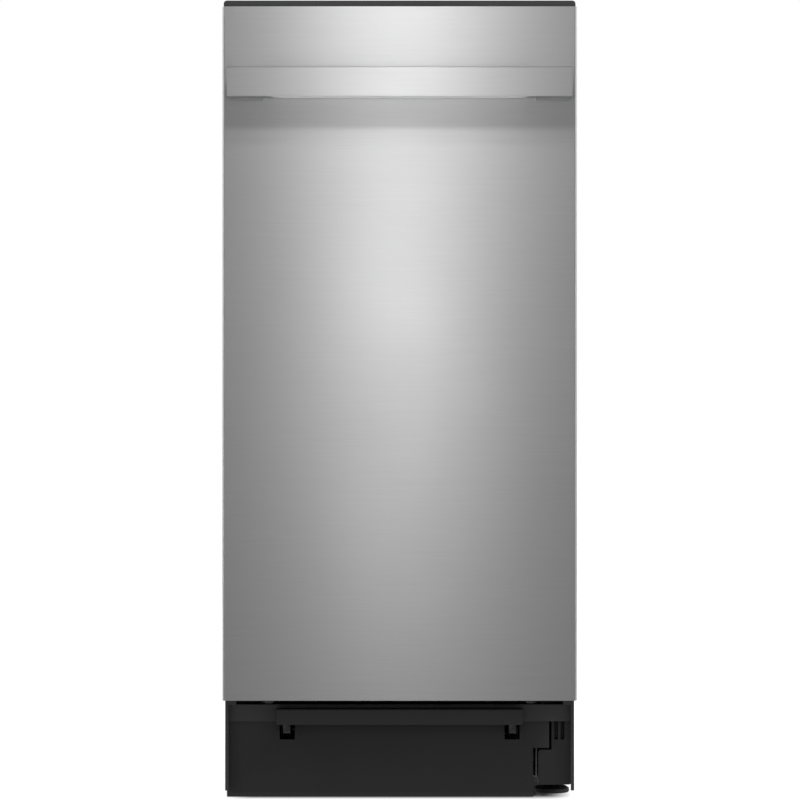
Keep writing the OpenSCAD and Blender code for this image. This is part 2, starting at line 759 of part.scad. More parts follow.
module button(x) {
    color("#5b5d60") {
        rod_z(x, console_s, [unit_h - 4.5, unit_h - 0.5], button_r);
        rod_z(x, console_s, [unit_h - 16, unit_h - 4.5], button_r - 3);
        rod_z(x, console_s, [unit_h - 5.5, unit_h - 3.5], button_r + 0.0);
    }
}

module key_knob() {
    color("#6a6c70") difference() {
        union() {
            rod_z(key_x, console_s, [unit_h - 8, unit_h - 0.5], key_r);
            rod_z(key_x, console_s, [unit_h - 22, unit_h - 8], key_r - 4);
        }
        block([key_x - 1.2, key_x + 1.2], [console_s - 5, console_s + 5], [unit_h - 6, unit_h]);
    }
}

module drawer_gasket() {
    w = 9;
    x = half_cab - 2;
    s = [front_t, s_cab - 0.3];
    z0 = panel_z0 + 12;
    z1 = cab_top - sheet_t - 2;
    color("#17181a") {
        sides() block([x - w, x], s, [z0, z1]);
        block([-x + w, x - w], s, [z1 - w, z1]);
    }
}

// ---------------------------------------------------------------- drawer and bin

module drawer_chassis() {
    z1 = drawer_z0 + rail_c_h;
    color("#c9cbcd") difference() {
        union() {
            sides() {
                block([web_x0, web_x0 + web_t], [front_t, chassis_s1], [drawer_z0, z1]);
                for (z = [drawer_z0, z1 - web_t])
                    block([web_x0 + web_t, roller_x1], [front_t, drawer_axle_s - roller_r - 3], [z, z + web_t]);
            }
            block([-web_x0, web_x0], [kick_s, kick_s + 2], [drawer_z0, tray_z]);
            block([-web_x0, web_x0], [chassis_s1 - 2, chassis_s1], [drawer_z0, z1]);
        }
        sides() rod_x([web_x0 - 1, web_x0 + web_t + 1], drawer_axle_s, drawer_axle_z, axle_r + run_gap);
    }
}
drawer_axle_z = track_z0 + track_t + 0.2 + roller_r;

module drawer_tray() {
    color("#d4d6d8") {
        block([-web_x0, web_x0], [front_t, drawer_axle_s - axle_r - 3], [tray_z, tray_z + tray_t]);
        // Low fences that keep the bin in place
        sides() block([bin_x + 1.5, bin_x + 3], [bin_s0 + 40, bin_s1 - 40], [tray_z + tray_t, tray_z + tray_t + 10]);
    }
}

side_hinge_z = bin_z0 + 16;
side_hinge_x = bin_x - 6;
side_pin_x = bin_x - 8;
side_pin_z = bin_top - 20;
side_pin_r = 2.5;
side_rod_r = 3;
latch_x = side_pin_x - 40;
latch_z = side_pin_z + side_pin_r + 4.9;

// Floor, front, back and left walls of the bin. The right wall is bin_side.
module bin() {
    color("#dfe1e2") difference() {
        block([-bin_x, bin_x], [bin_s0, bin_s1], [bin_z0, bin_top]);
        block([-bin_in_x, bin_in_x], [bin_s0 + bin_wall, bin_s1 - bin_wall], [bin_z0 + bin_wall, bin_top + 1]);
        // Room for the tilting side, above a low sill
        block([bin_in_x - 14, far], [bin_s0 + bin_wall, bin_s1 - bin_wall], [side_hinge_z - 6, bin_top + 1]);
        block([bin_x - bin_wall - 0.5, far], [bin_s0 - 1, bin_s1 + 1], [side_hinge_z + 8, bin_top + 1]);
        rod_y(side_hinge_x, [bin_s0 - 1, bin_s1 + 1], side_hinge_z, side_rod_r + run_gap);
        // An open notch that the side's pin leaves by
        block([side_pin_x - 4, far], [bin_s0 - 1, bin_s0 + bin_wall + 1], [side_pin_z - 4, side_pin_z + 3.5]);
        rod_y(latch_x, [bin_s0 - 1, bin_s0 + bin_wall + 1], latch_z, 3 + run_gap);
    }
}

// The right wall of the bin, which tilts outward on the rod at its foot to free a full bag.
module bin_side() {
    s0 = bin_s0 + bin_wall + 2;
    s1 = bin_s1 - bin_wall - 2;
    color("#d3d5d7") {
        block([bin_x - bin_wall, bin_x], [s0, s1], [side_hinge_z - 1, bin_top]);
        block([side_hinge_x, bin_x - bin_wall], [s0, s1], [side_hinge_z - 1, side_hinge_z + 1]);
        rod_y(side_hinge_x, [bin_s0 + 0.2, bin_s1 - 0.2], side_hinge_z, side_rod_r);
        // Stiffening flange and rim bead
        for (s = [s0, s1 - bin_wall])
            block([bin_x - 11, bin_x - bin_wall], [s, s + bin_wall], [side_hinge_z + 6, bin_top - 4]);
        block([bin_x, bin_x + 4], [bin_s0 + 20, bin_s1 - 20], [bin_top - 14, bin_top - 10]);
        rod_y(side_pin_x, [bin_s0 - 3, s0 + 1], side_pin_z, side_pin_r);
    }
}

// A detent lever on the bin's front wall. Its finger rests on the tilting side's pin.
module bin_latch() {
    s0 = bin_s0 - 4;
    s1 = bin_s0 - 0.4;
    z0 = side_pin_z + side_pin_r + 0.3;
    color("#2d5f9e") {
        block([latch_x, side_pin_x + 5], [s0, s1], [z0, z0 + 9]);
        rod_y(latch_x, [s0, s1], latch_z, 7);
        rod_y(latch_x, [s1, bin_s0 + bin_wall], latch_z, 3);
        block([side_pin_x - 30, side_pin_x - 8], [s0 - 6, s0], [z0 + 5, z0 + 9]);
    }
}

// Buttons near the corners of the rim that hold the bag's edge.
module bag_clips() {
    color("#26272a") {
        for (s = [bin_s0 + 40, bin_s1 - 40]) {
            block([-bin_x - 3, -bin_x], [s - 8, s + 8], [bin_top - 22, bin_top - 8]);
            block([-bin_x - 6, -bin_x - 3], [s - 11, s + 11], [bin_top - 24, bin_top - 6]);
        }
        for (x = [-bin_x + 40, bin_x - 75]) {
            block([x - 8, x + 8], [bin_s1, bin_s1 + 3], [bin_top - 22, bin_top - 8]);
            block([x - 11, x + 11], [bin_s1 + 3, bin_s1 + 6], [bin_top - 24, bin_top - 6]);
        }
    }
}

// ---------------------------------------------------------------- ram

module ram_plate() {
    color("#3f4247") block([-ram_x, ram_x], [ram_s0, ram_s1], [ram_z0, ram_z0 + ram_plate_t]);
}

module ram_box() {
    x = ram_x - 3;
    t = 2;
    color("#4b4e54") difference() {
        block([-x, x], [ram_s0 + 3, ram_s1 - 3], [ram_z0 + ram_plate_t, beam_z0]);
        block([-x + t, x - t], [ram_s0 + 3 + t, ram_s1 - 3 - t], [ram_z0 + ram_plate_t - 1, beam_z0 - t]);
    }
}

module ram_beam() {
    x = upright_out - upright_t - 2;
    color("#5a5d62") difference() {
        block([-x, x], [mid_s - beam_half_d, mid_s + beam_half_d], [beam_z0, beam_z1]);
        sides() rod_z(screw_x, mid_s, [beam_z0 - 1, beam_z1 + 1], nut_r + 0.1);
    }
}
nut_r = screw_r + 4;

module ram_nuts() {
    color("#c79a3a") sides() difference() {
        union() {
            rod_z(screw_x, mid_s, [beam_z0 - 8, beam_z1 + 1], nut_r);
            rod_z(screw_x, mid_s, [beam_z0 - 8, beam_z0 - 2], nut_r + 2.5);
        }
        rod_z(screw_x, mid_s, [beam_z0 - 9, beam_z1 + 2], screw_r + run_gap);
    }
}

module ram_shoes() {
    d = 3.2;
    color("#e9e9e4") sides() {
        block([upright_in + 6, upright_out - 10], [mid_s - beam_half_d - d, mid_s - beam_half_d],
              [beam_z0 - 4, beam_z1 + 2]);
        block([upright_in + 6, upright_out - 10], [mid_s + beam_half_d, mid_s + beam_half_d + d],
              [beam_z0 - 4, beam_z1 + 2]);
    }
}

// ---------------------------------------------------------------- pedal

module toe_bar() {
    arm_z1 = pedal_z + 7.6;
    arm_z0 = arm_z1 - arm_h;
    tip_s = kick_s + 10;
    r = 2;
    color("#2a2a2c") {
        difference() {
            profile_x([-bar_w / 2, bar_w / 2], concat(
                arc(bar_s + r, bar_z + r, r, 180, 270), [[bar_s + bar_d, bar_z], [bar_s + bar_d, bar_z + bar_h]],
                arc(bar_s + r, bar_z + bar_h - r, r, 90, 180)));
            block([-bar_w / 2 + bar_t, bar_w / 2 - bar_t], [bar_s + bar_t, bar_s + bar_d + 1],
                  [bar_z + bar_t, bar_z + bar_h - bar_t]);
        }
        sides() difference() {
            union() {
                profile_x([arm_x - arm_w / 2, arm_x + arm_w / 2], [
                    [bar_s + 3, bar_z], [bar_s + 3, arm_z0 + 2], [bar_s + 6, arm_z0], [pedal_s, arm_z0],
                    [pedal_s + 4, pedal_z - 7], [tip_s + 3, pedal_z + 22], [tip_s + 3, drawer_z0 + 1],
                    [tip_s, drawer_z0 + 1], [tip_s, drawer_z0 - 2], [tip_s - 3, pedal_z + 24], [pedal_s + 2, arm_z1],
                    [bar_s + bar_d + 6, arm_z1], [bar_s + bar_d, bar_z]]);
                rod_x([arm_x - arm_w / 2, arm_x + arm_w / 2], pedal_s, pedal_z, 8);
            }
            rod_x([arm_x - arm_w, arm_x + arm_w], pedal_s, pedal_z, pedal_rod_r + run_gap);
        }
    }
}

// Leaf springs between the pedal's horns and the drawer's front member. They flex when the bar is pressed.
module kick_springs() {
    tip_s = kick_s + 10;
    color("#b9bcc0") sides() profile_x([arm_x - 3, arm_x + 3], [
        [tip_s, drawer_z0], [kick_s + 2.5, drawer_z0 + 3], [kick_s + 2.5, drawer_z0 + 2],
        [tip_s, drawer_z0 - 1]]);
}

module pedal_hinge() {
    ear = 2.5;
    x0 = arm_x - arm_w / 2 - 8.5;
    x1 = arm_x + arm_w / 2 + 1;
    color("#3a3b3e") {
        rod_x([-x1 - ear, x1 + ear], pedal_s, pedal_z, pedal_rod_r);
        sides() for (x = [x0 - ear, x1]) difference() {
            block([x, x + ear], [pedal_s - 9, pedal_s + 9], [floor_top, pedal_z + 8]);
            rod_x([x - 1, x + ear + 1], pedal_s, pedal_z, pedal_rod_r - 0.5);
        }
    }
}

// Return springs, coiled round the hinge rod beside each arm.
module pedal_springs() {
    x0 = arm_x - arm_w / 2 - 7.5;
    wire = 0.8;
    color("#c3c6c9") sides() for (i = [0:3])
        translate([x0 + wire + i * 1.75, y_at(pedal_s), pedal_z]) rotate([0, 90, 0]) rotate_extrude()
            translate([pedal_rod_r + 1.2, 0]) circle(r = wire, $fn = 16);
}

// ---------------------------------------------------------------- rollers

// Two rollers on one axle along X.
module roller_pair(s, z, r, x0, x1, end_x) {
    color("#ececec") {
        rod_x([-end_x, end_x], s, z, axle_r);
        sides() rod_x([x0, x1], s, z, r);
    }
}

module rear_rollers() {
    roller_pair(rear_axle_s, rear_roller_r, rear_roller_r, foot_x - 12, foot_x + 12, foot_x + 18);
}

module drawer_rollers() {
    roller_pair(drawer_axle_s, drawer_axle_z, roller_r, roller_x0, roller_x1, roller_x1 + 0.5);
}

module track_rollers() {
    roller_pair(track_axle_s, track_axle_z, roller_r, roller_x0, roller_x1, roller_x1 + 9);
}

base_pan();
front_rail();
toe_plate();
mirror([1, 0, 0]) side_panel();  // side_panel_left
side_panel();  // side_panel_right
back_panel();
top_panel();
mirror([1, 0, 0]) upright();  // upright_left
upright();  // upright_right
top_crossmember();
screw_bearings();
mirror([1, 0, 0]) drawer_track();  // drawer_track_left
drawer_track();  // drawer_track_right
motor_housing();
motor_stator();
motor_mount();
gear_axle();
drive_chain();
interlock_switches();
terminal_box();
wiring_harness();
foot_housings();
pedal_hinge();
pedal_springs();
cabinet_screws();
fan_housing();
charcoal_filter();
front_panel();
front_liner();
console();
handle();
handle_screws();
drawer_chassis();
drawer_tray();
bin();
bag_clips();
drawer_gasket();
bin_side();
bin_latch();
button(button_x[0]);  // start_button
button(button_x[1]);  // stop_button
button(button_x[2]);  // pack_button
key_knob();
ram_plate();
ram_box();
ram_beam();
ram_nuts();
ram_shoes();
mirror([1, 0, 0]) power_screw();  // power_screw_left
power_screw();  // power_screw_right
drive_gear();
motor_rotor();
toe_bar();
kick_springs();
mirror([1, 0, 0]) levelling_foot();  // levelling_foot_left
levelling_foot();  // levelling_foot_right
rear_rollers();
drawer_rollers();
track_rollers();
fan_rotor();
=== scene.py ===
"""Looks for the built-in trash compactor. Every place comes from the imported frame, in metres."""

import math

import bmesh
import bpy
from mathutils import Matrix, Vector


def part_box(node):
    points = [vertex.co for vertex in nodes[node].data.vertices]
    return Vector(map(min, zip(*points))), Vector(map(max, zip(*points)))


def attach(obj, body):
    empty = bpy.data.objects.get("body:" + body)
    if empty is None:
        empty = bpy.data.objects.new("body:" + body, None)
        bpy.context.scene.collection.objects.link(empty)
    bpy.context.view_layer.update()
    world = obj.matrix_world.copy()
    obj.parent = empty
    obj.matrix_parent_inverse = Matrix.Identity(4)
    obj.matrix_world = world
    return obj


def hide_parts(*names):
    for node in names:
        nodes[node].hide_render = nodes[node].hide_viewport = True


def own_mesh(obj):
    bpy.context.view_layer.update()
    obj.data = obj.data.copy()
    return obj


MM = 0.001
TURN = 2 * math.pi

# The radius of the tiny bore that closes a turned outline on its own axis
BORE = 0.1 * MM

# Brightness of the studio: the surroundings, the floor's own glow, and area lights in watts.
# The column is a row of (height, power) lights in front of the steel panel.
AMBIENT = 0.212
FLOOR = 0.85
COLUMN = ((0.3, 0.16), (0.5, 0.19), (0.7, 0.46), (1.3, 1.35), (1.6, 1.3))
SIDES = 20
EDGES = 12
REAR = 20
UNDER_HANDLE = 0.015

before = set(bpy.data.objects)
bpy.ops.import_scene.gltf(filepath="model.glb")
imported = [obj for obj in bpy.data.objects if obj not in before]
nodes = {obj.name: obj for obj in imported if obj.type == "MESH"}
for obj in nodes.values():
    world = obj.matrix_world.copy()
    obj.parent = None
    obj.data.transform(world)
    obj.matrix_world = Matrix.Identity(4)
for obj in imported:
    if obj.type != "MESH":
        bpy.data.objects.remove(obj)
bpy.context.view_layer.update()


# ------------------------------------------------------------------ materials


class Paint:
    """One procedural material: a Principled shader and the nodes that feed it."""

    def __init__(self, name, **sockets):
        self.made = bpy.data.materials.new(name)
        self.made.use_nodes = True
        self.tree = self.made.node_tree
        self.shader = self.tree.nodes["Principled BSDF"]
        self.place = self.tree.nodes.new("ShaderNodeTexCoord").outputs["Object"]
        for socket, value in sockets.items():
            self.shader.inputs[socket.replace("_", " ")].default_value = value

    def stretched(self, x, y, z):
        """The place on the object, scaled along each axis, to stretch a texture."""
        mapping = self.tree.nodes.new("ShaderNodeMapping")
        mapping.inputs["Scale"].default_value = (x, y, z)
        self.tree.links.new(self.place, mapping.inputs["Vector"])
        return mapping.outputs["Vector"]

    def noise(self, scale, detail=4.0, roughness=0.55, place=None):
        made = self.tree.nodes.new("ShaderNodeTexNoise")
        made.inputs["Scale"].default_value = scale
        made.inputs["Detail"].default_value = detail
        made.inputs["Roughness"].default_value = roughness
        self.tree.links.new(place or self.place, made.inputs["Vector"])
        return made.outputs["Fac"]

    def cells(self, scale):
        made = self.tree.nodes.new("ShaderNodeTexVoronoi")
        made.inputs["Scale"].default_value = scale
        self.tree.links.new(self.place, made.inputs["Vector"])
        return made.outputs

    def ramp(self, source, stops):
        """Turns a number into a colour or a number. stops are (place, value) pairs."""
        made = self.tree.nodes.new("ShaderNodeValToRGB")
        elements = made.color_ramp.elements
        while len(elements) < len(stops):
            elements.new(0.5)
        for element, (place, value) in zip(elements, stops):
            element.position = place
            rgb = value if hasattr(value, "__len__") else (value,) * 3
            element.color = (*rgb, 1.0)
        self.tree.links.new(source, made.inputs["Fac"])
        return made.outputs["Color"]

    def mix(self, share, low, high):
        """Mixes two colours, each a socket or three numbers, by a share."""
        # A Mix node has a set of sockets for each type, and these are the colour ones
        socket_a, socket_b, result = 6, 7, 2
        made = self.tree.nodes.new("ShaderNodeMix")
        made.data_type = "RGBA"
        self.tree.links.new(share, made.inputs["Factor"])
        for index, value in ((socket_a, low), (socket_b, high)):
            if hasattr(value, "is_linked"):
                self.tree.links.new(value, made.inputs[index])
            else:
                made.inputs[index].default_value = (*value, 1.0)
        return made.outputs[result]

    def worn_edges(self, width):
        """High on convex edges of the mesh, low elsewhere."""
        made = self.tree.nodes.new("ShaderNodeNewGeometry")
        return self.ramp(made.outputs["Pointiness"], [(0.5, 0.0), (0.5 + width, 1.0)])

    def bump(self, source, depth):
        """Adds a bump from a height source, with its depth in metres."""
        made = self.tree.nodes.new("ShaderNodeBump")
        made.inputs["Strength"].default_value = 1.0
        made.inputs["Distance"].default_value = depth
        self.tree.links.new(source, made.inputs["Height"])
        self.tree.links.new(made.outputs["Normal"], self.shader.inputs["Normal"])

    def colour(self, source):
        self.tree.links.new(source, self.shader.inputs["Base Color"])

    def roughness(self, source):
        self.tree.links.new(source, self.shader.inputs["Roughness"])


def scaled(shade, factor, lift=0.0):
    """A shade times a factor, plus a lift, held at white."""
    return tuple(min(1.0, c * factor + lift) for c in shade)


def brushed(name, shade, anisotropy, rough):
    """Stainless sheet, brushed along X, so its gloss spreads up and down."""
    paint = Paint(name, Metallic=1.0, Anisotropic=anisotropy, Anisotropic_Rotation=0.25)
    tangent = paint.tree.nodes.new("ShaderNodeTangent")
    tangent.direction_type = "RADIAL"
    tangent.axis = "Z"
    paint.tree.links.new(tangent.outputs["Tangent"], paint.shader.inputs["Tangent"])
    grain = paint.noise(1.0, 5.0, 0.6, paint.stretched(16, 16, 3200))
    streaks = paint.noise(1.0, 3.0, 0.5, paint.stretched(4, 4, 700))
    clouds = paint.noise(5.0, 2.0)
    dark, light = scaled(shade, 0.955), scaled(shade, 1.04)
    fine = paint.ramp(grain, [(0.3, dark), (0.7, light)])
    paint.colour(paint.mix(paint.ramp(streaks, [(0.35, 0.0), (0.7, 0.12)]), fine, light))
    paint.roughness(paint.ramp(clouds, [(0.3, rough - 0.015), (0.7, rough + 0.015)]))
    paint.bump(grain, 0.0015 * MM)
    return paint.made


def painted(name, shade, rough, worn=None, gloss=0.5):
    """Enamel or powder coat: faint orange peel, dust, and paler worn edges."""
    paint = Paint(name, Specular_IOR_Level=gloss)
    peel = paint.noise(900.0, 2.0)
    dust = paint.noise(9.0, 6.0, 0.6)
    pale = scaled(shade, 1.35, 0.0015)
    base = paint.mix(paint.ramp(dust, [(0.4, 0.0), (0.75, 0.55)]), shade, pale)
    edge = worn or scaled(shade, 2.2, 0.02)
    paint.colour(paint.mix(paint.worn_edges(0.08), base, edge))
    paint.roughness(paint.ramp(dust, [(0.3, rough - 0.05), (0.7, rough + 0.08)]))
    paint.bump(peel, 0.02 * MM)
    return paint.made


def moulded(name, shade, rough, grain=0.02 * MM, spread=0.12):
    """Moulded plastic: a fine spark-eroded grain and slow changes of shade."""
    paint = Paint(name)
    spark = paint.noise(2200.0, 3.0, 0.7)
    flow = paint.noise(14.0, 3.0)
    low, high = scaled(shade, 1 - spread), scaled(shade, 1 + spread)
    paint.colour(paint.ramp(flow, [(0.3, low), (0.7, high)]))
    paint.roughness(paint.ramp(spark, [(0.3, rough - 0.06), (0.7, rough + 0.08)]))
    paint.bump(spark, grain)
    return paint.made


def galvanised():
    """Zinc-coated sheet with its spangle."""
    paint = Paint("galvanised", Metallic=1.0)
    crystals = paint.cells(240.0)
    spangle = paint.ramp(crystals["Color"], [(0.1, (0.5, 0.51, 0.52)), (0.9, (0.6, 0.61, 0.63))])
    stain = paint.ramp(paint.noise(11.0, 5.0), [(0.45, 0.0), (0.8, 0.35)])
    paint.colour(paint.mix(stain, spangle, (0.44, 0.44, 0.45)))
    paint.roughness(paint.ramp(crystals["Color"], [(0.1, 0.42), (0.9, 0.5)]))
    paint.bump(crystals["Distance"], 0.01 * MM)
    return paint.made


def turned_metal(name, shade, rough, oil=0.3):
    """Turned, rolled or stamped metal with fine tool marks and a film of oil."""
    paint = Paint(name, Metallic=1.0)
    marks = paint.noise(1.0, 3.0, 0.5, paint.stretched(60, 60, 1500))
    film = paint.noise(40.0, 5.0, 0.6)
    fine = paint.ramp(marks, [(0.3, scaled(shade, 0.8)), (0.7, scaled(shade, 1.1))])
    paint.colour(paint.mix(paint.ramp(film, [(0.5, 0.0), (0.8, oil)]), fine, scaled(shade, 0.45)))
    paint.roughness(paint.ramp(film, [(0.3, rough), (0.75, rough * 0.7)]))
    paint.bump(marks, 0.008 * MM)
    return paint.made


def rubber():
    paint = Paint("rubber", Sheen_Weight=0.15, Sheen_Roughness=0.5)
    bloom = paint.noise(24.0, 6.0, 0.65)
    pores = paint.noise(1600.0, 2.0)
    paint.colour(paint.ramp(bloom, [(0.35, (0.011, 0.011, 0.012)), (0.8, (0.03, 0.03, 0.031))]))
    paint.roughness(paint.ramp(pores, [(0.3, 0.62), (0.7, 0.8)]))
    paint.bump(pores, 0.03 * MM)
    return paint.made


def granules():
    """Carbon granules held in a fine mesh."""
    paint = Paint("charcoal")
    grains = paint.cells(420.0)
    shades = [(0.1, (0.008, 0.008, 0.008)), (0.9, (0.045, 0.045, 0.043))]
    paint.colour(paint.ramp(grains["Color"], shades))
    paint.roughness(paint.ramp(grains["Color"], [(0.1, 0.45), (0.9, 0.9)]))
    paint.bump(grains["Distance"], 0.9 * MM)
    return paint.made


def winding():
    """Laminated core plates and enamelled wire, in fine bands."""
    paint = Paint("copper", Metallic=0.85)
    bands = paint.noise(1.0, 1.0, 0.5, paint.stretched(30, 30, 2200))
    paint.colour(paint.ramp(bands, [(0.35, (0.28, 0.1, 0.035)), (0.65, (0.6, 0.25, 0.1))]))
    paint.roughness(paint.ramp(bands, [(0.3, 0.3), (0.7, 0.5)]))
    paint.bump(bands, 0.1 * MM)
    return paint.made


FINISH = {
    "stainless": brushed("stainless", (0.60, 0.60, 0.605), 0.70, 0.41),
    "black_paint": painted("black_paint", (0.0055, 0.0055, 0.006), 0.5, gloss=0.3),
    "cabinet_paint": painted("cabinet_paint", (0.012, 0.012, 0.013), 0.42, gloss=0.4),
    "galvanised": galvanised(),
    "frame_steel": painted("frame_steel", (0.15, 0.16, 0.17), 0.5),
    "black_plastic": moulded("black_plastic", (0.016, 0.016, 0.017), 0.45),
    # A lit copy of the black plastic, kept for the console: painted light, lighter than the plastic's
    # own shade
    "console_lit_plastic": moulded("console_lit_plastic", (0.03, 0.03, 0.031), 0.42),
    "grey_plastic": moulded("grey_plastic", (0.16, 0.165, 0.17), 0.42),
    "white_plastic": moulded("white_plastic", (0.72, 0.72, 0.69), 0.4, spread=0.05),
    "bin_plastic": moulded("bin_plastic", (0.58, 0.59, 0.59), 0.46, 0.03 * MM, spread=0.06),
    "blue_plastic": moulded("blue_plastic", (0.05, 0.16, 0.42), 0.38),
    "ram_paint": painted("ram_paint", (0.12, 0.13, 0.14), 0.4, worn=(0.4, 0.4, 0.41)),
    "screw_steel": turned_metal("screw_steel", (0.5, 0.5, 0.5), 0.3),
    "bronze": turned_metal("bronze", (0.55, 0.38, 0.14), 0.4),
    "motor_paint": painted("motor_paint", (0.055, 0.06, 0.07), 0.35),
    "copper": winding(),
    "chain_steel": turned_metal("chain_steel", (0.25, 0.25, 0.26), 0.35, oil=0.6),
    "spring_steel": turned_metal("spring_steel", (0.5, 0.5, 0.52), 0.28),
    "rubber": rubber(),
    "charcoal": granules(),
    "screw_zinc": turned_metal("screw_zinc", (0.6, 0.61, 0.62), 0.3),
}


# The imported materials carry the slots' names, so they step aside for the finished ones.
for node in nodes.values():
    for place in node.material_slots:
        slot_name = place.material.name.split(".")[0]
        place.material = FINISH[slot_name]
# The console takes the lit copy of the black plastic, with painted light in its colour
nodes["console"].material_slots[0].material = FINISH["console_lit_plastic"]


def soften_edges(node_name, radius):
    """Rolled or moulded edges on a CAD node, by modifiers, with its own mesh left as it is."""
    node = nodes[node_name]
    weld = node.modifiers.new("weld", "WELD")
    weld.merge_threshold = 0.01 * MM
    bevel = node.modifiers.new("soft_edges", "BEVEL")
    bevel.width = radius
    bevel.segments = 2
    bevel.limit_method = "ANGLE"
    bevel.angle_limit = math.radians(40)
    bevel.harden_normals = True


# ------------------------------------------------------------------ making pieces


def middle(node_name):
    """The middle of a CAD node's box."""
    low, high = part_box(node_name)
    return (low + high) / 2


def piece(name, mesh_data, finish, body, *stands_for):
    """A finished piece from a bmesh: smooth-shaded, painted, riding on a body."""
    mesh = bpy.data.meshes.new(name)
    bmesh.ops.recalc_face_normals(mesh_data, faces=mesh_data.faces)
    mesh_data.to_mesh(mesh)
    mesh_data.free()
    mesh.shade_smooth()
    mesh.set_sharp_from_angle(angle=math.radians(38))
    made = bpy.data.objects.new(name, mesh)
    bpy.context.scene.collection.objects.link(made)
    made.data.materials.append(FINISH[finish])
    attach(made, body)
    if stands_for:
        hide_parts(*stands_for)
    return made


def along(axis):
    """Turns the Z axis to X, Y or Z."""
    about, degrees = {"X": ("Y", 90), "Y": ("X", -90), "Z": ("Z", 0)}[axis]
    return Matrix.Rotation(math.radians(degrees), 4, about)


def ringed(points):
    """Each point with the next one round, back to the first."""
    return zip(points, points[1:] + points[:1])


def skin(mesh, here, there):
    """Faces between two closed rings of vertices."""
    for (a, b), (c, d) in zip(ringed(here), ringed(there)):
        mesh.faces.new((a, b, d, c))


def lathe(mesh, outline, centre, axis="Z", steps=40):
    """Turns a closed outline of (radius, height) points round an axis through centre."""
    place = Matrix.Translation(centre) @ along(axis)
    rings = []
    for i in range(steps):
        x, y = math.cos(TURN * i / steps), math.sin(TURN * i / steps)
        rings.append([mesh.verts.new(place @ Vector((r * x, r * y, h))) for r, h in outline])
    for here, there in ringed(rings):
        skin(mesh, here, there)


def disc(mesh, radius, low, high, centre, bevel, steps):
    """A short turned solid with chamfered rims and a fine centre dimple."""
    dimple = radius * 0.12
    bore = dimple * 0.1
    outline = [
        (bore, low),
        (radius - bevel, low),
        (radius, low + bevel),
        (radius, high - bevel),
        (radius - bevel, high),
        (dimple, high),
        (bore, high - bevel),
    ]
    lathe(mesh, outline, centre, steps=steps)


def block(mesh, low, high, bevel):
    """A box between two corners with rounded edges."""
    low, high = Vector(low), Vector(high)
    made = bmesh.ops.create_cube(mesh, size=1.0)["verts"]
    for v in made:
        # The cube reaches half a unit each way, so this share runs from 0 to 1
        v.co = Vector(a + (b - a) * (t + 0.5) for a, b, t in zip(low, high, v.co))
    edges = list({e for v in made for e in v.link_edges})
    bmesh.ops.bevel(mesh, geom=edges, offset=bevel, segments=2, profile=0.5, affect="EDGES")


def ribbed(mesh, outline, low, high, place):
    """A flat outline, pulled from low to high. place(x, y, height) gives each point's position."""
    rows = [[mesh.verts.new(place(x, y, height)) for x, y in outline] for height in (low, high)]
    mesh.faces.new(rows[0])
    mesh.faces.new(rows[1])
    skin(mesh, rows[0], rows[1])


def slab(mesh, outline, low, high, turn):
    """A flat outline of (x, y) points, pulled up from low to high, then turned into place."""
    ribbed(mesh, outline, low, high, lambda x, y, z: turn @ Vector((x, y, z)))


def tube(mesh, points, radius, sides=8, closed=False):
    """A round tube along points, kept from twisting by carrying its frame along."""
    points = [Vector(p) for p in points]
    angles = [TURN * k / sides for k in range(sides)]
    rings = []
    normal = None
    for i, point in enumerate(points):
        before = points[i - 1] if i or closed else point
        after = points[(i + 1) % len(points)] if i < len(points) - 1 or closed else point
        heading = (after - before).normalized()
        if normal is None:
            normal = heading.orthogonal().normalized()
        normal = (normal - heading * normal.dot(heading)).normalized()
        across = heading.cross(normal)
        spokes = [math.cos(a) * normal + math.sin(a) * across for a in angles]
        rings.append([mesh.verts.new(point + radius * spoke) for spoke in spokes])
    for here, there in zip(rings, rings[1:]):
        skin(mesh, here, there)
    if closed:
        skin(mesh, rings[-1], rings[0])
    else:
        mesh.faces.new(rings[0])
        mesh.faces.new(rings[-1])


# ------------------------------------------------------------------ drive pieces

SCREW_LEAD = 6.35 * MM
CHAIN_PITCH = 9.525 * MM
SPROCKET_TEETH = 10
SPROCKET_RADIUS = CHAIN_PITCH / (2 * math.sin(math.pi / SPROCKET_TEETH))
SPROCKET_TIP = SPROCKET_RADIUS + 1.8 * MM
CHAIN_ROLLER = 2.54 * MM


def sprocket_outline():
    """The outline of a sprocket with round tooth gaps, one of them at the top."""
    steps = 5
    gap = CHAIN_ROLLER + 0.25 * MM
    # Where the gap's circle meets the tip circle, seen from the gap's own centre
    reach = (SPROCKET_TIP**2 - SPROCKET_RADIUS**2 - gap**2) / (2 * SPROCKET_RADIUS * gap)
    half = math.pi - math.acos(max(-1.0, min(1.0, reach)))
    outline = []
    for k in range(SPROCKET_TEETH):
        turn = math.pi / 2 + TURN * k / SPROCKET_TEETH
        for i in range(steps + 1):
            angle = math.pi - half + 2 * half * i / steps
            x = SPROCKET_RADIUS + gap * math.cos(angle)
            y = -gap * math.sin(angle)
            outline.append((x * math.cos(turn) - y * math.sin(turn),
                            x * math.sin(turn) + y * math.cos(turn)))
    return outline


def screw_thread(mesh, foot, low, high, crest, root):
    """A ridge with sloping flanks, wound round a screw's core from low to high."""
    steps = 20
    turns = (high - low) / SCREW_LEAD - 1
    sunk = root - 0.2 * MM
    section = [(sunk, -2.4 * MM), (crest, -1.1 * MM), (crest, 1.1 * MM), (sunk, 2.4 * MM)]
    last = None
    for i in range(int(turns * steps) + 1):
        x, y = math.cos(TURN * i / steps), math.sin(TURN * i / steps)
        height = low + SCREW_LEAD * (0.5 + i / steps)
        ring = [mesh.verts.new(foot + Vector((r * x, r * y, height + h))) for r, h in section]
        if last:
            skin(mesh, last, ring)
        else:
            mesh.faces.new(ring)
        last = ring
    mesh.faces.new(last)


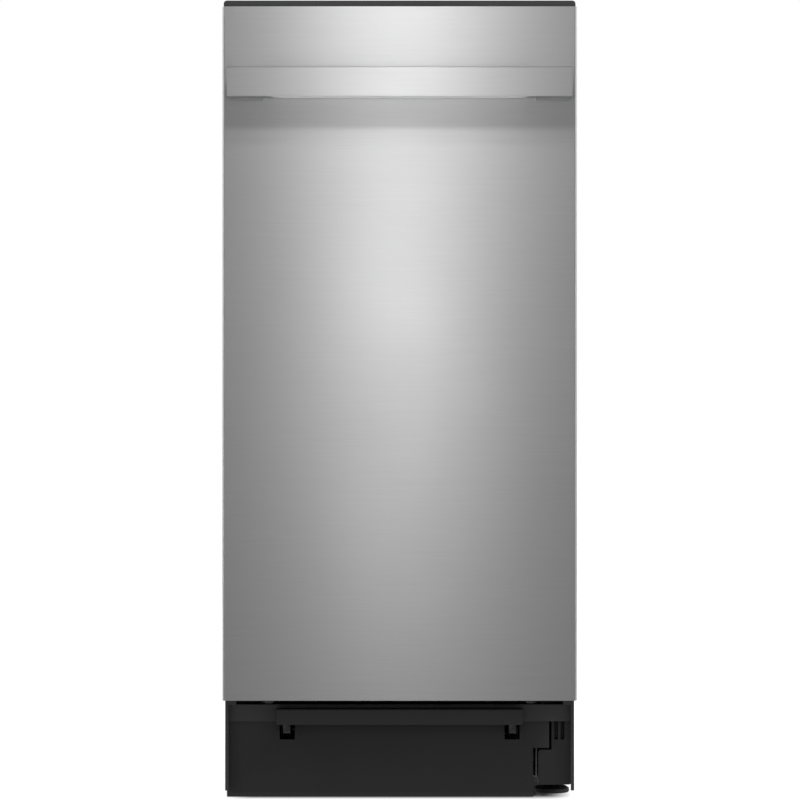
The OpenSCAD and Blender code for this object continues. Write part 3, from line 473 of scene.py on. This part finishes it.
def power_screws():
    """Rolled-thread screws, each with its journals, collar and sprocket."""
    crest, root, journal, collar = 9.5 * MM, 7.7 * MM, 6 * MM, 10 * MM
    collar_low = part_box("screw_bearings")[0].z + 18.5 * MM
    chain_mid = middle("drive_chain").z
    sprocket_low, sprocket_high = chain_mid - 2 * MM, chain_mid + 2 * MM
    thread_low = sprocket_high + 7 * MM
    thread_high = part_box("ram_beam")[1].z + 4 * MM
    for side in ("left", "right"):
        name = f"power_screw_{side}"
        low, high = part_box(name)
        centre = middle(name)
        foot = Vector((centre.x, centre.y, 0))
        mesh = bmesh.new()
        outline = [
            (BORE, low.z),
            (journal - 0.5 * MM, low.z),
            (journal, low.z + 0.5 * MM),
            (journal, collar_low),
            (collar, collar_low),
            (collar, sprocket_low),
            (journal, sprocket_low),
            (journal, thread_low - 1.5 * MM),
            (root, thread_low),
            (root, thread_high),
            (journal, thread_high + 1.5 * MM),
            (journal, high.z - 0.8 * MM),
            (journal - 0.8 * MM, high.z),
            (BORE, high.z),
        ]
        lathe(mesh, outline, foot)
        slab(mesh, sprocket_outline(), sprocket_low, sprocket_high, Matrix.Translation(foot))
        screw_thread(mesh, foot, thread_low, thread_high, crest, root)
        piece(f"screw_thread_{side}", mesh, "screw_steel", name, name)


def chain_stretches(centres):
    """The chain's arcs round the sprockets and the straight runs between them, each with its length."""
    arcs = []
    for before, centre, after in zip(centres[-1:] + centres, centres, centres[1:] + centres[:1]):
        into, out = (centre - before).normalized(), (after - centre).normalized()
        start, end = (math.atan2(-d.x, d.y) + math.pi for d in (into, out))
        while end < start:
            end += TURN
        arcs.append((centre, start, end))
    stretches = []
    for (centre, start, end), (there, _, _) in ringed(arcs):
        stretches.append(("arc", centre, start, (end - start) * SPROCKET_RADIUS))
        offset = SPROCKET_RADIUS * Vector((math.cos(end), math.sin(end)))
        stretches.append(("line", centre + offset, there + offset, (there - centre).length))
    return stretches


def chain_path():
    """Points a pitch apart round three sprockets, each with whether a sprocket's teeth reach it."""
    middles = [middle(name) for name in ("power_screw_right", "drive_gear", "power_screw_left")]
    centres = [Vector((c.x, c.y)) for c in middles]
    stretches = chain_stretches(centres)
    total = sum(length for *_, length in stretches)
    # An even number of links closes a chain of inner and outer ones
    count = 2 * round(total / CHAIN_PITCH / 2)
    clear = SPROCKET_TIP + CHAIN_ROLLER + 0.3 * MM
    points = []
    for i in range(count):
        run = total * i / count
        for kind, first, second, length in stretches:
            if run <= length:
                break
            run -= length
        # An arc is kept as its centre and its first angle, and a line as its two ends
        if kind == "arc":
            angle = second + run / SPROCKET_RADIUS
            spot = first + SPROCKET_RADIUS * Vector((math.cos(angle), math.sin(angle)))
        else:
            spot = first + (second - first) * run / length
        points.append((spot, any((spot - centre).length < clear for centre in centres)))
    return points


def link_outline(length):
    """A link plate's outline: round ends and a waist."""
    end, waist = 3.6 * MM, 2.7 * MM
    outline = [(length / 2, waist)]
    for centre, degrees in ((length, range(60, -61, -30)), (0, range(240, 119, -30))):
        for angle in map(math.radians, degrees):
            outline.append((centre + end * math.cos(angle), end * math.sin(angle)))
        if centre:
            outline.append((length / 2, -waist))
    return outline


def drive_chain():
    """Roller chain: link plates in pairs above and below, and rollers clear of the sprockets."""
    low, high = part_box("drive_chain")
    plate, gap = 1.2 * MM, 0.1 * MM
    roller_low, roller_high = low.z + plate + gap, high.z - plate - gap
    points = chain_path()
    plates, rollers = bmesh.new(), bmesh.new()
    for i, ((spot, near), (ahead, _)) in enumerate(ringed(points)):
        foot = Vector((spot.x, spot.y, 0))
        step = ahead - spot
        turn = Matrix.Translation(foot) @ Matrix.Rotation(math.atan2(step.y, step.x), 4, "Z")
        outline = link_outline(step.length)
        # Outer plates take the outer half of the plates' thickness, inner plates the inner half
        inner = i % 2
        half = plate / 2 - gap / 2
        for side, face in ((1, low.z), (-1, high.z)):
            start = face + side * (half + gap if inner else 0)
            slab(plates, outline, *sorted((start, start + side * half)), turn)
        if not near:
            disc(rollers, CHAIN_ROLLER, roller_low, roller_high, foot, 0.4 * MM, 16)
            disc(rollers, 1.5 * MM, low.z, high.z, foot, 0.2 * MM, 10)
    piece("chain_plates", plates, "chain_steel", "cabinet", "drive_chain")
    piece("chain_rollers", rollers, "screw_steel", "cabinet")


def pedal_springs():
    """Torsion springs round the hinge rod, beside each lever arm."""
    low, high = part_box("pedal_springs")
    axis = middle("pedal_springs")
    wire = 0.8 * MM
    coil = (high.z - low.z) / 2 - wire
    turns, steps = 4, 28
    count = turns * steps
    # Each spring is as long as the row of rings it stands for
    length = 3 * 1.75 * MM
    mesh = bmesh.new()
    for side, start in ((-1, low.x + wire), (1, high.x - wire)):
        points = []
        for i in range(count + 1):
            angle = TURN * i / steps
            x = start - side * length * i / count
            points.append((x, axis.y + coil * math.cos(angle), axis.z + coil * math.sin(angle)))
        tube(mesh, points, wire * 0.85)
    piece("pedal_coils", mesh, "spring_steel", "cabinet", "pedal_springs")


def kick_leaves():
    """Bowed leaf springs on the pedal's horns."""
    low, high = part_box("kick_springs")
    width, thick, steps = 6 * MM, 0.9 * MM, 10
    half = thick / 2
    leaves = bmesh.new()
    for start in (low.x, high.x - width):
        section = ((start, -half), (start + width, -half), (start + width, half), (start, half))
        rows = []
        for i in range(steps + 1):
            t = i / steps
            y = high.y + (low.y - high.y) * t
            z = low.z + half + (high.z - low.z - thick) * math.sin(math.pi / 2 * t)
            rows.append([leaves.verts.new((x, y, z + up)) for x, up in section])
        for here, there in zip(rows, rows[1:]):
            skin(leaves, here, there)
        leaves.faces.new(rows[0])
        leaves.faces.new(rows[-1])
    made = piece("kick_leaves", leaves, "spring_steel", "pedal", "kick_springs")
    # A leaf runs from the horn's tip, which is at the anchor, up and forward to its free end
    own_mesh(made)


# ------------------------------------------------------------------ wheels and fan


def wheel_pair(name, radius, inner, outer):
    """Moulded wheels with a crowned tread, a dished web and a hub, on one steel axle."""
    low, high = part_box(name)
    centre = middle(name)
    half = (outer - inner) / 2
    bore, hub, web = 4.05 * MM, 5.6 * MM, radius * 0.8
    edge, shoulder, draft = 0.7 * MM, 0.8 * MM, 0.4 * MM
    dish = half * 0.45
    upper = [
        (radius - 0.1 * MM, half - shoulder),
        (radius - edge, half),
        (web, half),
        (web - draft, half - dish),
        (hub + draft, half - dish),
        (hub, half),
        (bore, half),
    ]
    lower = [(r, -h) for r, h in reversed(upper)]
    outline = lower + [(radius, 0)] + upper
    wheels, axle = bmesh.new(), bmesh.new()
    for side in (-1, 1):
        place = centre + Vector((side * (inner + outer) / 2, 0, 0))
        lathe(wheels, outline, place, "X", 48)
    reach = (high.x - low.x) / 2
    rod, chamfer = 4.0 * MM, 0.6 * MM
    upper = [(rod, reach - chamfer), (rod - chamfer, reach), (BORE, reach)]
    lower = [(r, -h) for r, h in reversed(upper)]
    lathe(axle, lower + upper, centre, "X", 28)
    piece(f"{name}_wheels", wheels, "white_plastic", name, name)
    piece(f"{name}_axle", axle, "screw_zinc", name)


def blade_row(mesh, centre, radius, sweep, half, depth, share):
    """One row of a blade's points at a radius: its front skin, then its back skin."""
    thick = 0.9 * MM
    row = []
    for face in (-1, 1):
        for t in (-1, -0.5, 0, 0.5, 1):
            angle = sweep + half * t
            lean = 0.42 * depth * t * (1 - 0.25 * share) + 0.8 * MM * (1 - t * t)
            y = lean + face * thick / 2 * (1.1 - abs(t))
            spot = Vector((radius * math.cos(angle), y, radius * math.sin(angle)))
            row.append(mesh.verts.new(centre + spot))
    return row


def fan_blades():
    """Seven swept blades on a rounded hub."""
    low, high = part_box("fan_rotor")
    centre = middle("fan_rotor")
    reach = (high.z - low.z) / 2
    depth = high.y - low.y
    hub, wall, cap = 14 * MM, 1.5 * MM, 3 * MM
    front, rear = -depth / 2, depth / 2
    mesh = bmesh.new()
    outline = [
        (BORE, front),
        (hub - 2 * MM, front),
        (hub, front + 2 * MM),
        (hub, rear),
        (hub - wall, rear),
        (hub - wall, front + cap),
        (BORE, front + cap),
    ]
    lathe(mesh, outline, centre, "Y", 40)
    blades, spans = 7, 6
    # A row holds one skin's points and then the other's
    across = 5
    for k in range(blades):
        rows = []
        for i in range(spans + 1):
            share = i / spans
            radius = hub - 0.5 * MM + (reach - 0.3 * MM - hub) * share
            sweep = TURN * k / blades + 0.25 * share
            half = math.radians(21 - 5 * share)
            rows.append(blade_row(mesh, centre, radius, sweep, half, depth, share))
        for here, there in zip(rows, rows[1:]):
            for j in range(across - 1):
                back = j + across
                mesh.faces.new((here[j], here[j + 1], there[j + 1], there[j]))
                mesh.faces.new((here[back], there[back], there[back + 1], here[back + 1]))
            mesh.faces.new((here[0], there[0], there[across], here[across]))
            mesh.faces.new((here[across - 1], here[-1], there[-1], there[across - 1]))
        for row in (rows[0], rows[-1]):
            for j in range(across - 1):
                mesh.faces.new((row[j], row[j + 1], row[j + 1 + across], row[j + across]))
    piece("fan_blades", mesh, "black_plastic", "fan_rotor", "fan_rotor")


# ------------------------------------------------------------------ bin, back, wiring and fasteners


def bin_ribs():
    """Moulded ribs outside the bin's fixed walls, and on its tilting side."""
    low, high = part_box("bin")
    proud, half, sunk, band = 2.0 * MM, 1.5 * MM, 0.8 * MM, 7 * MM
    rounding, band_rounding = 0.7 * MM, 0.9 * MM
    foot, head = low.z + 36 * MM, high.z - 62 * MM
    # Each face of the bin with how far its ribs reach inside and outside it
    front_and_back = ((low.y - proud, low.y + sunk), (high.y - sunk, high.y + proud))
    fixed_side = (low.x - proud, low.x + sunk)
    tilting_side = (high.x - sunk, high.x + proud)
    walls, tilting = bmesh.new(), bmesh.new()

    count = 5
    for i in range(count):
        x = low.x + (high.x - low.x) * (i + 0.75) / (count + 0.5)
        for near, far in front_and_back:
            block(walls, (x - half, near, foot), (x + half, far, head), rounding)
    count = 7
    for i in range(count):
        y = low.y + (high.y - low.y) * (i + 0.75) / (count + 0.5)
        for mesh, (near, far) in ((walls, fixed_side), (tilting, tilting_side)):
            block(mesh, (near, y - half, foot), (far, y + half, head), rounding)

    top = head + band
    near, far = fixed_side
    block(walls, (near, low.y + 1 * MM, head), (far, high.y - 1 * MM, top), band_rounding)
    for near, far in front_and_back:
        block(walls, (low.x + 1 * MM, near, head), (high.x - 9 * MM, far, top), band_rounding)
    near, far = tilting_side
    block(tilting, (near, low.y + 6 * MM, head), (far, high.y - 6 * MM, top), band_rounding)
    piece("bin_wall_ribs", walls, "bin_plastic", "drawer")
    piece("bin_side_ribs", tilting, "bin_plastic", "bin_side")


def louvres():
    """A pressed hood over each vent slot in the back panel."""
    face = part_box("back_panel")[1].y
    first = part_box("ram_beam")[0].z - 60 * MM
    half, deep, drop, sheet = 45 * MM, 2.5 * MM, 5.2 * MM, 0.8 * MM
    slots, pitch, above_slot = 8, 9, 4.6
    steps = 6
    mesh = bmesh.new()
    for i in range(slots):
        crown = first + (pitch * i + above_slot) * MM
        outer = []
        for k in range(steps + 1):
            t = math.pi / 2 * k / steps
            outer.append((face - 0.1 * MM + deep * math.sin(t), crown - drop * (1 - math.cos(t))))
        inner = []
        for k, (y, z) in enumerate(outer):
            inner.append((y - sheet * (k / steps) - 0.02 * MM, z - sheet))
        outline = outer + inner[::-1]
        ribbed(mesh, outline, -half, half, lambda y, z, x: Vector((x, y, z)))
    piece("vent_hoods", mesh, "galvanised", "cabinet")


def dome(mesh, centre, side):
    """A low rivet head on a face that looks along X, to the left where side is -1."""
    radius, height, bore = 3.2 * MM, 0.6 * MM, 0.05 * MM
    profile = ((1.0, 0), (0.97, 0.45), (0.75, 0.85), (0.4, 1.0))
    outline = [(bore, 0)]
    outline += [(radius * r, side * height * h) for r, h in profile]
    outline.append((bore, side * height))
    lathe(mesh, outline, centre, "X", 24)


def side_rivets():
    """Rivets through the side panels into the uprights, and along the rear flange."""
    mesh = bmesh.new()
    post_low, post_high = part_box("upright_left")
    inset = 12 * MM
    for name, side in (("side_panel_left", -1), ("side_panel_right", 1)):
        low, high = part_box(name)
        face = low.x if side < 0 else high.x
        rows = ((post_low.y + inset, 7), (post_high.y - inset, 7), (high.y - 8 * MM, 9))
        for y, count in rows:
            for i in range(count):
                z = low.z + 70 * MM + (high.z - low.z - 110 * MM) * i / (count - 1)
                dome(mesh, Vector((face, y, z)), side)
    piece("side_rivets", mesh, "screw_zinc", "cabinet")


def hex_bolt(mesh, radius, height, foot):
    """A hexagon-head bolt standing up from its washer."""
    washer = 0.8 * MM
    disc(mesh, radius * 1.45, 0, washer, foot, 0.2 * MM, 28)
    angles = [math.radians(60 * k) for k in range(6)]
    corners = [(radius * math.cos(a), radius * math.sin(a)) for a in angles]
    slab(mesh, corners, washer - 0.1 * MM, height - 0.5 * MM, Matrix.Translation(foot))
    disc(mesh, radius * 0.86, height - 0.6 * MM, height, foot, 0.4 * MM, 28)


def ram_details():
    """Bolts through the crosshead, and gripping ribs under the ram's face."""
    beam = middle("ram_beam")
    beam_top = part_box("ram_beam")[1].z
    low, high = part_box("ram_plate")
    bolts, ribs = bmesh.new(), bmesh.new()
    for x in (-75 * MM, -25 * MM, 25 * MM, 75 * MM):
        hex_bolt(bolts, 6.5 * MM, 4.6 * MM, Vector((x, beam.y, beam_top)))
    count, half, inset, rounding = 9, 2.5 * MM, 12 * MM, 0.9 * MM
    for k in range(count):
        y = low.y + (high.y - low.y) * (k + 0.5) / count
        block(ribs, (low.x + inset, y - half, low.z - 2 * MM),
              (high.x - inset, y + half, low.z + 1 * MM), rounding)
    piece("ram_bolts", bolts, "screw_zinc", "ram")
    piece("ram_face_ribs", ribs, "ram_paint", "ram")


def motor_details():
    """Cooling ribs round the motor's case and the bolts in its end cap."""
    low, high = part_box("motor_housing")
    axis = middle("motor_housing")
    foot = Vector((axis.x, axis.y, low.z))
    radius = (high.x - low.x) / 2
    sunk = radius - 0.6 * MM
    depth, half = 1.4 * MM, 0.9 * MM
    shoulder, crest = radius + depth * 0.7, radius + depth
    outline = [
        (sunk, -half),
        (shoulder, -half),
        (crest, -half * 0.3),
        (crest, half * 0.3),
        (shoulder, half),
        (sunk, half),
    ]
    ribs, bolts = bmesh.new(), bmesh.new()
    count, rib_low, rib_high = 36, 7 * MM, 98 * MM
    for k in range(count):
        turn = Matrix.Translation(foot) @ Matrix.Rotation(TURN * (k + 0.5) / count, 4, "Z")
        slab(ribs, outline, rib_low, rib_high, turn)
    bolt_circle = 26 * MM
    for k in range(4):
        angle = math.radians(45 + 90 * k)
        x, y = bolt_circle * math.cos(angle), bolt_circle * math.sin(angle)
        hex_bolt(bolts, 3.6 * MM, 3.4 * MM, Vector((axis.x + x, axis.y + y, high.z)))
    piece("motor_ribs", ribs, "motor_paint", "cabinet")
    piece("motor_bolts", bolts, "screw_zinc", "cabinet")


def rounded_route(corners, radius):
    """A route through corner points with each bend rounded, sampled every few millimetres."""
    steps, spacing = 6, 5 * MM
    corners = [Vector(c) for c in corners]
    route = [corners[0]]
    for before, corner, after in zip(corners, corners[1:], corners[2:]):
        into, out = (corner - before).normalized(), (after - corner).normalized()
        start, end = corner - into * radius, corner + out * radius
        for i in range(steps + 1):
            t = i / steps
            route.append(start.lerp(corner, t).lerp(corner.lerp(end, t), t))
    route.append(corners[-1])
    fine = [route[0]]
    for here, there in zip(route, route[1:]):
        count = max(1, round((there - here).length / spacing))
        fine += [here.lerp(there, i / count) for i in range(1, count + 1)]
    return fine


def carried_frames(route):
    """Each point of a route with two directions across it and how far along it is."""
    headings = [(b - a).normalized() for a, b in zip(route, route[1:])]
    headings.append(headings[-1])
    normal = headings[0].orthogonal().normalized()
    frames, run = [], 0.0
    for i, (point, heading) in enumerate(zip(route, headings)):
        normal = (normal - heading * normal.dot(heading)).normalized()
        run += (point - route[i - 1]).length if i else 0.0
        frames.append((point, normal.copy(), heading.cross(normal), run))
    return frames


def wiring():
    """Two looms of three twisted wires with cable ties, along the CAD harness."""
    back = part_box("back_panel")[0].y - 20 * MM
    box_low, box_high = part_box("terminal_box")
    box_mid = middle("terminal_box")
    motor_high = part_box("motor_housing")[1]
    motor_y = middle("motor_housing").y
    fan_low, fan_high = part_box("fan_housing")
    beside = motor_high.x + 14 * MM
    top = motor_high.z - 38 * MM
    box_z = box_mid.z + 10 * MM
    fan_z = fan_low.z + 20 * MM
    looms = (
        ((box_low.x, back, box_z), (beside, back, box_z), (beside, back, top),
         (beside, motor_y, top), (motor_high.x + 0.2 * MM, motor_y, top)),
        ((box_mid.x, back, box_high.z), (box_mid.x, back, fan_z), (fan_high.x, back, fan_z)),
    )
    bend, lay = 12 * MM, 55 * MM
    twist_radius, wire_radius = 1.5 * MM, 1.25 * MM
    tie_radius, tie_thickness = 2.75 * MM, 0.45 * MM
    # Ties come every so many points of the route, and stay off its ends
    first_tie, last_ties, between_ties = 9, 6, 16
    tie_angles = [TURN * k / 16 for k in range(16)]

    finishes = ("black_plastic", "white_plastic", "blue_plastic")
    wires = [bmesh.new() for _ in finishes]
    ties = bmesh.new()
    for corners in looms:
        frames = carried_frames(rounded_route(corners, bend))
        for k, wire in enumerate(wires):
            path = []
            for point, n, b, run in frames:
                angle = TURN * (run / lay + k / 3)
                path.append(point + twist_radius * (math.cos(angle) * n + math.sin(angle) * b))
            tube(wire, path, wire_radius)
        for i in range(first_tie, len(frames) - last_ties, between_ties):
            point, n, b, _ = frames[i]
            ring = [point + tie_radius * (math.cos(a) * n + math.sin(a) * b) for a in tie_angles]
            tube(ties, ring, tie_thickness, 6, closed=True)
    for finish, wire in zip(finishes, wires):
        stands_for = ("wiring_harness",) if finish == "black_plastic" else ()
        piece(f"wires_{finish.split('_')[0]}", wire, finish, "cabinet", *stands_for)
    piece("cable_ties", ties, "white_plastic", "cabinet")


# ------------------------------------------------------------------ studio


def area_light(name, place, aim, width, height, power):
    data = bpy.data.lights.new(name, "AREA")
    data.shape = "RECTANGLE"
    data.size = width
    data.size_y = height
    data.energy = power
    made = bpy.data.objects.new(name, data)
    made.location = place
    made.rotation_euler = (Vector(aim) - Vector(place)).to_track_quat("-Z", "Y").to_euler()
    made.visible_camera = False
    bpy.context.scene.collection.objects.link(made)


def background(tree, strength):
    made = tree.nodes.new("ShaderNodeBackground")
    made.inputs["Strength"].default_value = strength
    made.inputs["Color"].default_value = (1, 1, 1, 1)
    return made.outputs["Background"]


def studio():
    scene = bpy.context.scene
    scene.view_settings.view_transform = "Standard"
    scene.view_settings.look = "None"

    # White to the camera, and dimmer as light
    world = bpy.data.worlds.new("studio")
    scene.world = world
    world.use_nodes = True
    tree = world.node_tree
    tree.nodes.clear()
    out = tree.nodes.new("ShaderNodeOutputWorld")
    path = tree.nodes.new("ShaderNodeLightPath")
    choice = tree.nodes.new("ShaderNodeMixShader")
    tree.links.new(path.outputs["Is Camera Ray"], choice.inputs["Fac"])
    tree.links.new(background(tree, AMBIENT), choice.inputs[1])
    tree.links.new(background(tree, 1.0), choice.inputs[2])
    tree.links.new(choice.outputs["Shader"], out.inputs["Surface"])

    face_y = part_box("front_panel")[0].y
    for height, power in COLUMN:
        place = (0, face_y - 0.9, height)
        area_light(f"column_{height}", place, (0, face_y, height), 0.08, 0.15, power)
    for side in (-1, 1):
        area_light(f"side_{side}", (side * 2.6, 0.5, 1.3), (0, 0, 0.4), 1.8, 1.8, SIDES)
        place = (side * 2.4, -2.0, 0.9)
        area_light(f"edge_{side}", place, (0, face_y, 0.45), 1.3, 1.8, EDGES)
    area_light("rear", (0.8, 2.6, 2.0), (0, 0, 0.45), 1.8, 1.8, REAR)
    # The floor's light, caught by the handle's lower edge
    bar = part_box("handle")[0]
    spot = Vector((0, bar.y + 6 * MM, bar.z - 8 * MM))
    area_light("under_handle", spot, spot + Vector((0, 0, 1)), 0.27, 0.012, UNDER_HANDLE)


def floor_glow_with_painted_shadow(paint):
    """The floor's glow, faded out under the cabinet by its place on the floor: a painted shadow where
    the cabinet's shade falls.
    """
    low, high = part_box("base_pan")

    def math_node(operation, first, second=None):
        made = paint.tree.nodes.new("ShaderNodeMath")
        made.operation = operation
        paint.tree.links.new(first, made.inputs[0])
        if hasattr(second, "is_linked"):
            paint.tree.links.new(second, made.inputs[1])
        elif second is not None:
            made.inputs[1].default_value = second
        return made.outputs["Value"]

    def map_range(source, **sockets):
        made = paint.tree.nodes.new("ShaderNodeMapRange")
        for socket, value in sockets.items():
            made.inputs[socket.replace("_", " ")].default_value = value
        paint.tree.links.new(source, made.inputs["Value"])
        return made

    reach = paint.tree.nodes.new("ShaderNodeSeparateXYZ")
    paint.tree.links.new(paint.place, reach.inputs["Vector"])
    fades = []
    for axis in (0, 1):
        centre, half = (low[axis] + high[axis]) / 2, (high[axis] - low[axis]) / 2
        away = math_node("ABSOLUTE", math_node("SUBTRACT", reach.outputs[axis], centre))
        fade = map_range(away, From_Min=half - 30 * MM, From_Max=half + 12 * MM, To_Min=1.0, To_Max=0.0)
        fade.interpolation_type = "SMOOTHSTEP"
        fades.append(fade.outputs["Result"])
    # The mask of the painted shadow: one under the cabinet, fading to none outside it
    inside = math_node("MULTIPLY", *fades)
    return map_range(inside, To_Min=FLOOR, To_Max=0.0).outputs["Result"]


def floor():
    paint = Paint("floor", Roughness=0.6)
    shades = [(0.3, (0.86, 0.86, 0.86)), (0.7, (0.9, 0.9, 0.9))]
    paint.colour(paint.ramp(paint.noise(2.0, 3.0), shades))
    paint.shader.inputs["Emission Color"].default_value = (1, 1, 1, 1)
    # The glow holds a painted shadow under the cabinet
    paint.tree.links.new(floor_glow_with_painted_shadow(paint), paint.shader.inputs["Emission Strength"])
    mesh = bpy.data.meshes.new("floor")
    half = 30.0
    corners = [(-half, -half, 0), (half, -half, 0), (half, half, 0), (-half, half, 0)]
    mesh.from_pydata(corners, [], [(0, 1, 2, 3)])
    made = bpy.data.objects.new("floor", mesh)
    made.location.z = -0.2 * MM
    made.visible_glossy = False
    made.data.materials.append(paint.made)
    bpy.context.scene.collection.objects.link(made)


def camera():
    data = bpy.data.cameras.new("camera")
    data.sensor_width = 36.0
    data.lens = 142.39
    data.clip_end = 100.0
    made = bpy.data.objects.new("camera", data)
    made.location = (0.0004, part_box("front_panel")[0].y - 3.4, 0.4345)
    made.rotation_euler = (math.radians(90), 0, 0)
    bpy.context.scene.collection.objects.link(made)
    bpy.context.scene.camera = made


for name, radius in (
    ("front_panel", 1.1 * MM),
    ("handle", 0.4 * MM),
    ("console", 0.5 * MM),
    ("toe_bar", 0.4 * MM),
    ("front_rail", 0.4 * MM),
    ("toe_plate", 0.3 * MM),
    ("side_panel_left", 0.3 * MM),
    ("side_panel_right", 0.3 * MM),
    ("top_panel", 0.4 * MM),
    ("foot_housings", 0.5 * MM),
):
    soften_edges(name, radius)
power_screws()
drive_chain()
pedal_springs()
kick_leaves()
for name, radius, inner, outer in (
    ("drawer_rollers", 10 * MM, 139.5 * MM, 147 * MM),
    ("track_rollers", 10 * MM, 139.5 * MM, 147 * MM),
    ("rear_rollers", 13 * MM, 156.45 * MM, 180.45 * MM),
):
    wheel_pair(name, radius, inner, outer)
fan_blades()
bin_ribs()
louvres()
side_rivets()
ram_details()
motor_details()
wiring()

studio()
floor()
camera()
